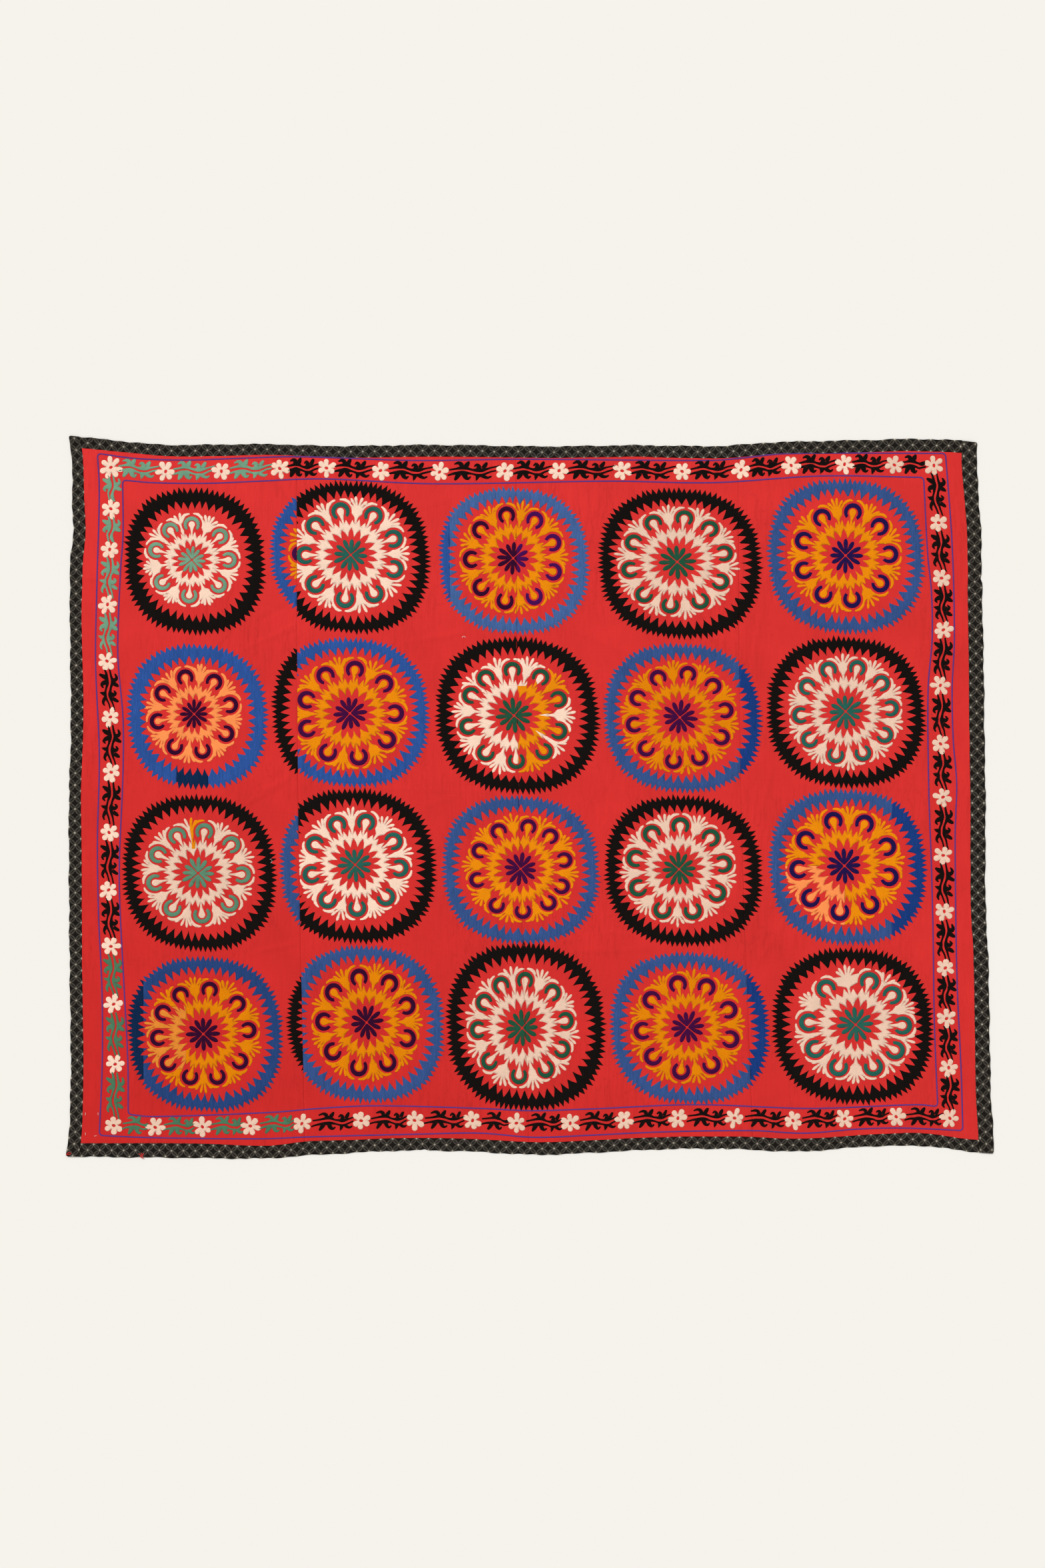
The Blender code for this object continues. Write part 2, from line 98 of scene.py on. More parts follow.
BINDING_WIDTHS = {
    "top": (
        (-1260, 30), (-1063, 28), (-874, 31), (-712, 28), (-442, 31), (0, 30), (530, 32),
        (800, 33), (1215, 32),
    ),
    "bottom": (
        (-1260, 35), (-982, 38), (-874, 38), (-712, 33), (-604, 37), (-442, 33), (0, 33),
        (476, 32), (638, 34), (908, 31), (1016, 34), (1124, 32), (1260, 34),
    ),
    "left": (
        (-980, 34), (-692, 33), (-125, 33), (37, 31), (280, 33), (442, 31), (604, 33),
        (766, 32), (980, 28),
    ),
    "right": ((-970, 40), (-530, 39), (199, 40), (523, 38), (766, 37), (960, 42)),
}
INWARD = {"top": -1, "bottom": 1, "left": 1, "right": -1}
LEVEL = ("top", "bottom")  # sides that run along X
SEAMS = (
    ((-940, -609), (0, -627), (940, -631)),
    ((-940, -3), (0, -30), (940, -39)),
    ((-940, 602), (0, 570), (940, 562)),
)
PANELS = 4
PANEL_LENGTH = 1.86

# Medallions: name, ring's middle, half width and half height, first and last panel, rosette's
# middle, half width and half height, pods, turn of the first in degrees, then the colours of
# the ring, the rosette's leaves and its pods
MEDALLIONS = (
    ("11", -908, 638, 189, 196, 1, 1, -914, 640, 128, 124, 8, 0, "black", "ivory", "light_green"),
    ("12", -484, 649, 210, 205, 2, 2, -485, 654, 158, 155, 9, 21, "black", "ivory", "teal"),
    ("13", -46, 640, 203, 198, 2, 3, -46, 645, 146, 151, 9, 20, "steel_blue", "orange", "plum"),
    ("14", 403, 633, 220, 202, 3, 4, 397, 635, 166, 153, 10, 10, "black", "cream", "dark_green"),
    ("15", 851, 652, 212, 208, 4, 4, 852, 652, 153, 153, 9, 0, "blue", "orange", "indigo"),
    ("21", -901, 220, 189, 194, 1, 1, -908, 224, 128, 130, 8, 13, "bright_blue", "peach", "plum"),
    ("22", -487, 230, 212, 201, 2, 2, -487, 226, 157, 153, 9, 2, "bright_blue", "orange", "purple"),
    ("23", -37, 223, 220, 210, 2, 3, -44, 220, 164, 158, 10, 19, "black", "ivory", "dark_green"),
    ("24", 409, 216, 213, 201, 3, 4, 404, 215, 160, 153, 10, 9, "blue", "amber", "purple"),
    ("25", 851, 231, 214, 203, 4, 4, 852, 231, 157, 155, 10, 4, "black", "cream", "teal"),
    ("31", -896, -203, 207, 210, 1, 1, -897, -206, 153, 146, 9, -2, "black", "cream", "moss"),
    ("32", -473, -184, 216, 208, 2, 2, -473, -183, 155, 151, 9, -6, "black", "ivory", "teal"),
    ("33", -28, -195, 212, 200, 2, 3, -26, -194, 155, 148, 10, 11, "blue", "orange", "purple"),
    ("34", 412, -197, 213, 203, 3, 4, 402, -195, 155, 151, 9, 7, "black", "cream", "dark_green"),
    ("35", 855, -187, 213, 210, 4, 4, 849, -186, 160, 160, 9, 25, "blue", "orange", "indigo"),
    ("41", -879, -638, 209, 209, 1, 1, -883, -640, 157, 155, 10, 3, "dusk_blue", "amber", "plum"),
    ("42", -444, -611, 209, 212, 2, 2, -442, -609, 149, 158, 9, 20, "blue", "amber", "plum"),
    ("43", -14, -618, 214, 225, 2, 3, -22, -624, 153, 166, 10, 9, "black", "cream", "dark_green"),
    ("44", 428, -622, 215, 205, 3, 4, 424, -622, 155, 153, 9, 23, "blue", "amber", "purple"),
    ("45", 869, -616, 217, 210, 4, 4, 879, -615, 164, 157, 9, 0, "black", "cream", "teal"),
)
MEDALLION_COLUMNS = (
    "name", "x", "y", "half_x", "half_y", "first", "last", "rosette_x", "rosette_y",
    "rosette_half_x", "rosette_half_y", "pods", "turn", "ring", "leaves", "pod",
)
# Directions of the pods in degrees, where they are unevenly spaced
UNEVEN_PODS = {
    "11": (0, 41, 90, 125, 164, 218, 266, 316),
    "23": (21, 56, 92, 126, 154, 194, 234, 273, 309, 340),
    "31": (-2, 42, 82, 118, 154, 193, 235, 275, 315),
    "33": (12, 49, 80, 119, 155, 195, 238, 273, 308, 336),
    "41": (5, 42, 82, 120, 152, 185, 220, 253, 288, 323),
    "43": (9, 47, 86, 118, 148, 182, 223, 266, 302, 334),
    "45": (-1, 40, 73, 128, 177, 212, 249, 292, 326),
}
# Parts of rings that were left on the first panel when it was sewn to the second
CUT_RINGS = (
    ("cut_1", -501, 657, 203, 185, "bright_blue"),
    ("cut_2", -496, 229, 202, 213, "black"),
    ("cut_3", -476, -193, 202, 203, "blue"),
    ("cut_4", -456, -611, 202, 185, "black"),
)
# The first of them shows a little of its rosette
CUT_ROSETTE = {
    "rosette_half_x": 153, "rosette_half_y": 145, "pods": 9, "turn": 20,
    "leaves": "orange", "pod": "purple",
}
CUT_AT_SEAM = ("12", "22", "32", "42", "cut_1", "cut_2", "cut_3", "cut_4")
RING_SQUARENESS = 2.45  # 2 is an ellipse
FLAME_SQUARENESS = 2.3
ROSETTE_SQUARENESS = 2.1
RING_SKEW = 0.018  # rings bulge to the upper left and the lower right
RING_SAG = 0.015  # and more so to the lower right

# A medallion's pattern, in shares of its half width
RING = {"teeth": 96, "point": 1.014, "valley": 0.942, "flames": 53, "tip": 0.878, "foot": 0.765}
SMALL_RING = {"teeth": 79, "point": 1.02, "valley": 0.938, "flames": 47, "tip": 0.835, "foot": 0.722}
FLAME_FULLNESS = 0.85  # 1 is a straight-sided flame
FLAME_HEIGHTS = (0.25, 0.55, 0.85)
FLAME_SHIFT, FLAME_LEAN, FLAME_UNEVEN = 0.09, 0.14, 0.015
TOOTH_SHIFT, TOOTH_SHOULDER = 0.1, 0.52
RING_TEETH = (0.14, 0.014, 0.23)  # lean, unevenness and half width at the shoulder
STAR_TEETH = (0.1, 0.012, 0.28)
POD_RADIUS = 0.58
LEAF_REACH = 0.75  # the rosette's half size is this share of its scale
CELL_SHARE = 0.72  # a pod's red cell, as a share of the half distance between pods
# The horns of a leaf hug the pods beside it: degrees round the pod and thickness there
HORN_THICKNESS = (
    (6, 0.014), (10, 0.022), (19, 0.03), (32, 0.036), (46, 0.038), (58, 0.034), (65, 0.024),
)
HORN_ARC = (112, 100, 88, 76, 64, 52, 40, 28, 17, 8)
STOUT = {8: 1.22, 9: 1.04, 10: 1.0}  # the thickness of forms for the number of pods
CORE = {"valley": 0.38, "tip": 0.47, "star_tip": 0.35, "star_foot": 0.232}
SMALL_CORE = {"valley": 0.362, "tip": 0.455, "star_tip": 0.328, "star_foot": 0.212}
POD_SIZES = {8: 1.14, 9: 1.04, 10: 0.94}
FINGER_FANS = {3: 32, 4: 26, 5: 21}  # degrees between a leaf's fingers
FINGER_GAPS = (22.4, 17)  # degrees: five or four where the half gap between pods is wider
FINGER_LENGTH, FINGER_FALL, FINGER_WIDTH = 0.152, 0.007, 0.038
FINGER_FOOT, FINGER_SPREAD = 0.62, 0.013
# Half outlines of the forms, as sideways and outward shares
LEAF_STEM = ((0.026, 0.36), (0.015, 0.4), (0.015, 0.45), (0.023, 0.49))
LEAF_TOP = ((0.045, 0.635), (0.02, 0.645))
DROP_STEM = ((0.026, 0.36), (0.015, 0.4), (0.014, 0.45), (0.021, 0.495), (0.033, 0.535))
DROP_ARC = (115, 90, 65, 42, 20)
DROP_RADIUS = 0.045
# A finger's half outline: shares of its length and of its width
FINGER_SIDES = ((0.0, 0.34), (0.35, 0.38), (0.68, 0.5), (0.85, 0.44), (0.95, 0.26))
SHOE_OPENING = (34, 46)  # degrees
SHOE_STEPS = 15
SHOE_RADIUS = 0.1165
SHOE_BAND = (0.038, 0.02)  # at its ends, and how much wider at its middle
CENTRE_RADIUS, CENTRE_HOLE = 0.07, 0.018
LOBE_TURN, LOBE_LENGTHS, LOBE_WIDTH = 29, (0.205, 0.238), 0.059
CROSS_BAR = ((0.008, 0.0045), (0.2, 0.006), (0.2, -0.006), (0.008, -0.0045))

# Needlework
RISE = 0.8 * MM
BEVEL = 1.3 * MM
SUNK = 0.4 * MM
FILL_STEP = 7 * MM
FILL_PACES = (1, 0.87)  # so that its triangles are about even
MERGE = 0.02 * MM
SLIVER = 0.02 * MM  # triangles that are lower than this are left out
RIM_RISE = 0.3 * MM  # keeps the edges of the needlework clear of the cotton's creases
PUFF = 0.8  # lower is fuller
INSET_CLEAR = 0.7  # of the bevel
FILL_CLEAR, FILL_JITTER = 0.35, 0.12  # of the step
SEAM_CLEAR = 0.1 * MM  # between needlework and a panel's edge
SEAM_PLACES = 9
FINE = {"bevel": 1.1 * MM, "step": 5 * MM}  # for narrow forms
POD_FORM = {"rise": 1.0 * MM, "bevel": 1.3 * MM, "step": 5 * MM}

# The printed binding
BINDING_CROWN = 2.8 * MM
BINDING_SEAM = 2.0 * MM
BINDING_ROUND = 3.5 * MM
BINDING_LAP = 0.9 * MM  # how far its inner edge lies on the red cotton
BINDING_STEP = 5 * MM
CORNER_ROUND = 7 * MM
BINDING_EDGE = (0.45, 0.55)  # shares of the crown: its height at the fold, and the rise from there
HEM_SHARE = 0.22  # of the width, sloping down to the seam
HEM_STITCH, HEM_REACH, HEM_DEPTH = 9 * MM, 3 * MM, 0.22 * MM
PUCKER, PUCKER_PACES = 0.16 * MM, (11 * MM, 47 * MM)
FOLD_WAVER, FOLD_WAVER_PACES = 0.8 * MM, (8 * MM, 61 * MM)
SLOW_WAVER, SLOW_WAVER_PACE = 0.9 * MM, 23 * MM
SEAM_WAVER, SEAM_WAVER_PACE = 0.25 * MM, 5 * MM
NOTCH_DEPTH, NOTCH_WIDTH = 3.5 * MM, 7
BINDING_SHARES = (0, 0.02, 0.05, 0.1, 0.2, 0.34, 0.5, 0.66, 0.8, 0.89, 0.95, 0.985, 1)
BAKE_ROWS = 7
BACK_SHARES = (1.0, 0.04)
# Places across the bake's rows: the face takes most of a row and the back little
BAKE_FACE = (0.03, 0.8)
BAKE_BACK = (0.88, 0.97)
BAKE_LAST = 0.995
BAKE_MARGIN, BAKE_SPAN = 0.004, 0.992
BINDING_TRY = {"level": 1.26, "upright": 0.98}  # a first guess of how far a strip reaches
NOTCHES = {"bottom": (-285, 519), "top": (), "left": (), "right": (590,)}

# The border's two lines, as rows for the edges
LINES = {
    "outer": {
        "top": (
            (-1169, 928), (-1063, 914), (-924, 910), (-777, 915), (-631, 919), (-318, 909),
            (-39, 912), (494, 909), (568, 915), (692, 927), (1122, 928),
        ),
        "right": (
            (-901, 1169), (-735, 1164), (-490, 1153), (-111, 1148), (37, 1152), (152, 1143),
            (292, 1140), (428, 1146), (680, 1140), (928, 1122),
        ),
        "bottom": (
            (-1164, -914), (-1023, -920), (-726, -923), (-600, -918), (-278, -910),
            (-134, -908), (10, -919), (152, -914), (345, -905), (600, -901), (741, -908),
            (883, -897), (1005, -894), (1169, -901),
        ),
        "left": (
            (-914, -1164), (-714, -1156), (-516, -1157), (-318, -1166), (-120, -1169),
            (114, -1164), (361, -1174), (555, -1171), (827, -1164), (928, -1169),
        ),
    },
    "inner": {
        "top": (
            (-1101, 856), (-1023, 849), (-876, 847), (-751, 852), (-564, 859), (-267, 846),
            (213, 853), (494, 849), (789, 867), (1063, 863),
        ),
        "right": (
            (-836, 1101), (-613, 1092), (-345, 1088), (-157, 1083), (13, 1077), (292, 1075),
            (428, 1086), (555, 1084), (654, 1074), (863, 1063),
        ),
        "bottom": (
            (-1086, -857), (-1023, -863), (-703, -852), (-568, -841), (-424, -834),
            (-134, -841), (-4, -847), (152, -843), (442, -831), (760, -841), (1045, -831),
            (1101, -836),
        ),
        "left": (
            (-857, -1086), (-714, -1087), (-516, -1097), (-219, -1110), (66, -1100),
            (213, -1100), (386, -1114), (606, -1107), (705, -1100), (856, -1101),
        ),
    },
}
# Where the flowers stand along each side; the corners' ones are in the rows of top and bottom
FLOWERS = {
    "top": (
        -1133, -985, -834, -676, -550, -404, -244, -67, 78, 249, 411, 570, 705, 849, 984, 1090,
    ),
    "bottom": (
        -1125, -1012, -885, -755, -616, -456, -312, -156, -37, 109, 253, 399, 552, 710,
        849, 989, 1133,
    ),
    "left": (778, 668, 520, 366, 215, 66, -96, -252, -403, -559, -721),
    "right": (741, 591, 451, 301, 143, -1, -157, -310, -461, -598, -731),
}

CORNER_FLOWER = 1.22  # how much longer the petals of the seven-petalled flower are
PETAL_LENGTHS = (23.5, 29.5)
PETAL_WIDTHS = (13.5, 16.5)
FLOWER_MIDDLE = 8.5
DOT_HALF = (5.2, 3.8)
DOT_SIDES = 10
FLOWER_CLEAR = 22  # vines end this far from a flower's middle

# The vine between two flowers: rows of share of the way, millimetres outward and width
UPPER_STEM = (
    (0.14, 6, 3.5), (0.25, 8.8, 5), (0.34, 11.6, 8), (0.40, 10.6, 8), (0.46, 6.4, 5),
    (0.525, 3.8, 6), (0.586, 3.6, 9), (0.648, 4.2, 8), (0.71, 6.2, 5), (0.77, 9, 4),
    (0.84, 11.6, 3.5), (0.9, 13.5, 3),
)
LOWER_STEM = (
    (0.12, -9, 3.5), (0.2, -4.6, 5), (0.28, -3.6, 8), (0.34, -2.8, 9.5), (0.40, -3.1, 8),
    (0.46, -5, 5), (0.525, -7.9, 4.5), (0.586, -10.2, 7), (0.648, -9.2, 6), (0.71, -5.2, 4.5),
    (0.77, -1.4, 4), (0.85, 1.8, 3.5),
)
UPPER_SPRIGS = (
    (((0.34, 12, 11), (0.325, 20.5, 9.5), (0.28, 23.7, 7), (0.228, 20.5, 3.5)), False),
    (((0.385, 12, 10), (0.415, 19.5, 10), (0.437, 25, 7)), False),
    (((0.59, 6, 11), (0.594, 14.2, 9), (0.562, 18, 6.5), (0.53, 14.3, 3)), False),
    (((0.655, 8, 9), (0.69, 16.5, 9), (0.71, 21.5, 6.5)), False),
)
LOWER_SPRIGS = (
    (((0.29, -5, 12), (0.262, -13.5, 10), (0.238, -19.5, 6.5)), False),
    (((0.37, -5, 12), (0.392, -14, 10), (0.432, -18.3, 6.5), (0.465, -14.5, 3)), False),
    (((0.58, -9, 10), (0.574, -15, 9), (0.562, -20, 5.5)), True),
    (((0.64, -9.5, 9), (0.68, -14.2, 8), (0.735, -17, 6), (0.78, -14, 3)), False),
)
SHORT_GAP = 122 * MM
SHORT_STRETCH = 1.22  # vines in short gaps leave out their second half
SHORT_END = (0.88, 3.5)
STEM_WAVER, STEM_SWELL = 0.7, (0.92, 1.1)
VINE_FULLNESS = {"bottom": 1.03, "left": 1.14, "top": 1.22, "right": 1.2}
STEM_LEAST = 4.2
LATER = {"bottom": 0.09}  # how far a side's vines are shifted along, at their middle
DULL_FROM = 0.9  # flowers past here are of the duller ivory

# The border lines' chain stitch
LINE_WIDTH = 4.6 * MM
LINE_RISE = 0.7 * MM
STITCH = 5 * MM
LINE_SECTIONS = 2
CORNER = 5 * MM
LINE_POINTS = 300
LINE_SMOOTHINGS = 4
LINE_PROFILE = ((-0.5, None), (-0.28, 1.0), (0.28, 1.0), (0.5, None))  # across, and its height
LINE_SINK = 0.25 * MM
STITCH_WOBBLE = (0.92, 1.1)
STITCH_SWELL, STITCH_LIFT = 0.1, 0.2

# Small white stitches left from a hanging: middle and direction
TACKS = ((-1201.5, -855.9, 84), (-1167.3, -855.9, 95), (-1201.5, -909.9, 87), (-1174.5, -915.3, 8))
TACK_LENGTH = 7
# Loose ends of thread, as points of their paths
LOOSE_THREADS = (
    ("white", ((-716, -178), (-709, -171), (-702, -168), (-697, -173), (-701, -178))),
    ("white", ((-184, 430), (-181, 434), (-177, 434), (-175, 430))),
    ("red", ((-1057, -963), (-1052, -968), (-1050, -974), (-1044, -975))),
    ("red", ((-1043, -962), (-1047, -967), (-1046, -973))),
    ("red", ((-1050, -961), (-1049, -967), (-1053, -972))),
    ("red", ((-1240, -962), (-1246, -966), (-1252, -964))),
    ("red", ((-1243, -959), (-1249, -962), (-1253, -968))),
)
THREAD_RADIUS = {"white": 0.45 * MM, "red": 1.0 * MM}
TUBE_SIDES = 6
THREAD_STEPS = 14
THREAD_LIFT = 0.85  # of its radius, over what it lies on

# Soft folds: middle, length, direction in degrees, width and height
FOLDS = (
    (-300, 20, 520, 0, 9, 0.6), (-720, 8, 130, 36, 14, 1.0), (-700, 30, 110, 30, 12, 0.8),
    (-705, 430, 150, 28, 14, 1.0), (-262, 430, 170, 14, 16, 0.9), (612, 420, 260, 84, 14, 1.0),
    (640, 20, 190, 80, 14, 0.9), (180, 424, 150, -20, 14, 0.7), (-235, -400, 130, -24, 14, 0.9),
    (-690, -408, 130, 18, 14, 0.9), (210, -414, 220, 4, 12, 0.7), (640, -410, 150, 62, 12, 0.8),
    (1176, 560, 300, 84, 10, 0.8), (1180, -60, 260, 93, 10, 0.8), (-1190, 590, 36, 2, 9, 0.9),
    (-1190, 120, 36, -6, 9, 0.8), (-690, 500, 110, 34, 12, -0.6), (1200, 250, 240, 86, 12, 0.6),
    (1150, 20, 160, 96, 9, -0.5), (1070, 22, 200, 1, 9, 0.5), (-20, 438, 140, -8, 16, 0.6),
    (600, 330, 160, 95, 12, -0.6), (-240, -10, 120, 24, 14, 0.6), (640, 880, 120, 92, 14, 0.6),
    (-1190, -300, 40, 8, 9, 0.7), (0, -420, 180, 10, 14, -0.5), (1195, -420, 220, 88, 12, 0.5),
)
FOLD_DEPTH = 1.7
FOLD_SPREAD = 0.42  # a fold's half width as it fades, as a share of its width
FOLD_SWAY, FOLD_PACE = 0.7, 2.2  # how far and how often it wavers along its length
SWELL_COUNT = 9
SWELL = 0.12 * MM
SWELL_LENGTHS = (0.14, 0.42)
CREASE_COUNT = 70
CREASE_REACH = (1180, 900)
CREASE_LENGTHS, CREASE_TURNS, CREASE_WIDTHS = (60, 190), (-40, 130), (7, 12)
CREASE_HEIGHTS = (0.15, 0.42)

# Colours as they are seen, from 0 to 255
THREADS = {
    "black": (17, 13, 11),
    "blue": (52, 80, 133),
    "bright_blue": (44, 81, 149),
    "steel_blue": (66, 97, 150),
    "dusk_blue": (38, 66, 118),
    "deep_blue": (24, 57, 121),
    "navy": (12, 38, 72),
    "ivory": (249, 215, 191),
    "cream": (234, 198, 174),
    "orange": (233, 137, 6),
    "amber": (223, 129, 2),
    "honey": (225, 135, 48),
    "peach": (252, 146, 80),
    "light_green": (113, 157, 129),
    "fern": (74, 119, 90),
    "moss": (90, 135, 108),
    "teal": (36, 95, 83),
    "dark_green": (30, 81, 58),
    "purple": (62, 8, 60),
    "plum": (48, 6, 42),
    "grape": (68, 10, 80),
    "indigo": (30, 16, 70),
    "violet": (98, 56, 126),
    "white": (232, 226, 214),
}
# Threads that share the finish of another
SLOTS = {
    "bright_blue": "blue_thread", "dusk_blue": "blue_thread", "deep_blue": "blue_thread",
    "steel_blue": "blue_thread", "honey": "orange_thread",
    "cream": "ivory_thread", "amber": "orange_thread", "moss": "light_green_thread",
    "fern": "light_green_thread", "teal": "dark_green_thread", "plum": "purple_thread",
    "grape": "purple_thread",
}
# How far the dye of some threads varies
MOTTLED = {"light_green_thread": 0.12, "fern_thread": 0.12, "teal_thread": 0.1, "moss_thread": 0.12}
FLAT_STITCHED = ("black", "blue", "bright_blue", "steel_blue", "dusk_blue", "deep_blue", "navy")
OUTLINE = (104, 18, 24)  # the dark red that the edges of most needlework darken to
OUTLINE_STRENGTH = 0.3
# The cotton's red at its four corners, with painted light: lighter at the top left and darker at the
# bottom left
COTTON_CORNERS_WITH_PAINTED_LIGHT = ((222, 52, 50), (214, 49, 46), (200, 40, 37), (213, 48, 45))
COTTON_HALF = (1.25, 0.95)
WRINKLE_DEPTH = 30.0  # of the cotton's wrinkles, beside its slubs
PRINT_GROUND = (25, 22, 19)
PRINT_LINE = (124, 116, 104)
PRINT_STAR = (232, 222, 198)
PRINT_REPEAT = (32.3 * MM, 30.4 * MM)
PETAL_BULGES = (0.2, 0.095)  # of the print's outer and inner lines, in shares of a petal's length
PRINT_LINE_WIDTH = 0.019
STAR_RAYS = 8.0
FLOOR = (244, 241, 234)
FLOOR_REACH = 12.0
FLOOR_DROP = 0.2 * MM
SKY_STRENGTH = 0.70
SUN_STRENGTH = 1.55
SUN_WIDTH = 12  # degrees, for soft shadows
SUN_TURN = (50, 0, -140)
# Straight above, so that a point of the picture is 1.8 mm of cloth
CAMERA_PLACE = (-0.0207, 0.0351, 10.0)
LENS = 85
SENSOR = 36


def linear(colour):
    """A colour from 0 to 255 as the linear values that a shader takes."""
    values = []
    for value in colour:
        share = value / 255
        values.append(share / 12.92 if share <= 0.04045 else ((share + 0.055) / 1.055) ** 2.4)
    return (*values, 1.0)


def smooth(rows, along):
    """The value at a distance along of the smooth curve through the rows."""
    last = len(rows) - 1
    k = 0
    while k < last - 1 and along > rows[k + 1][0]:
        k += 1
    (x0, y0), (x1, y1) = rows[k], rows[k + 1]
    before, after = rows[max(k - 1, 0)], rows[min(k + 2, last)]
    slope0 = (y1 - before[1]) / (x1 - before[0])
    slope1 = (after[1] - y0) / (after[0] - x0)
    span = x1 - x0
    t = min(max((along - x0) / span, 0.0), 1.0)
    rise = t * t * (3 - 2 * t)
    bend0 = t * (1 - t) ** 2 * span * slope0
    bend1 = -t * t * (1 - t) * span * slope1
    return y0 + (y1 - y0) * rise + bend0 + bend1


def curve(rows):
    """A function of places in metres, single or in an array, from rows in millimetres."""
    places = np.linspace(rows[0][0], rows[-1][0], CURVE_POINTS)
    values = np.array([smooth(rows, place) for place in places])
    return lambda at: np.interp(at, places * MM, values * MM)


OUTER_EDGE = {side: curve(rows) for side, rows in EDGES.items()}
WIDTH = {side: curve(rows) for side, rows in BINDING_WIDTHS.items()}
SEAM = [curve(rows) for rows in SEAMS]
LINE = {line: {side: curve(rows) for side, rows in sides.items()} for line, sides in LINES.items()}


def inner_edge(side, along):
    """Where the binding is sewn to the panels."""
    return OUTER_EDGE[side](along) + INWARD[side] * WIDTH[side](along)


def on_side(side, along, across):
    """The point at a place along a side and a place across it."""
    return (along, across) if side in LEVEL else (across, along)


def panel_side(number, direction, y):
    """The left (-1) or right (+1) edge of a panel at height y."""
    if number == 1 and direction < 0:
        return inner_edge("left", y) + GAP
    if number == PANELS and direction > 0:
        return inner_edge("right", y) - GAP
    return SEAM[number - 1 + (direction - 1) // 2](y) - direction * GAP / 2


def make_swells():
    """Long, low waves that keep the cotton from being dead flat."""
    waves = []
    for _ in range(SWELL_COUNT):
        turn = chance.uniform(0, math.tau)
        pace = math.tau / chance.uniform(*SWELL_LENGTHS)
        waves.append((pace * math.cos(turn), pace * math.sin(turn), chance.uniform(0, math.tau)))
    return waves


def make_creases():
    """Faint short creases all over, in rows as for the folds."""
    creases = []
    for _ in range(CREASE_COUNT):
        place = [chance.uniform(-reach, reach) for reach in CREASE_REACH]
        form = [chance.uniform(*span) for span in (CREASE_LENGTHS, CREASE_TURNS, CREASE_WIDTHS)]
        height = chance.choice((-1, 1)) * chance.uniform(*CREASE_HEIGHTS)
        creases.append((*place, *form, height))
    return tuple(creases)


SWELLS = make_swells()
CREASES = make_creases()


def ground(x, y):
    """The height of the cotton's face at arrays of points."""
    x = np.asarray(x, float)
    y = np.asarray(y, float)
    z = np.full(x.shape, CLOTH)
    for fold_x, fold_y, length, degrees, width, height in FOLDS + CREASES:
        c, s = math.cos(math.radians(degrees)), math.sin(math.radians(degrees))
        dx, dy = x - fold_x * MM, y - fold_y * MM
        along = (dx * c + dy * s) / (length * MM / 2)
        across = (dy * c - dx * s) / (width * MM * FOLD_SPREAD) + FOLD_SWAY * np.sin(FOLD_PACE * along)
        z = z + FOLD_DEPTH * height * MM * np.exp(-across**2) * np.exp(-along**4)
    for pace_x, pace_y, phase in SWELLS:
        z = z + SWELL * np.sin(pace_x * x + pace_y * y + phase)
    for line in SEAM:
        for depth, half_width in SEAM_DIPS:
            z = z - depth * np.exp(-((x - line(y)) / half_width) ** 2)
    return np.maximum(z, LEAST)


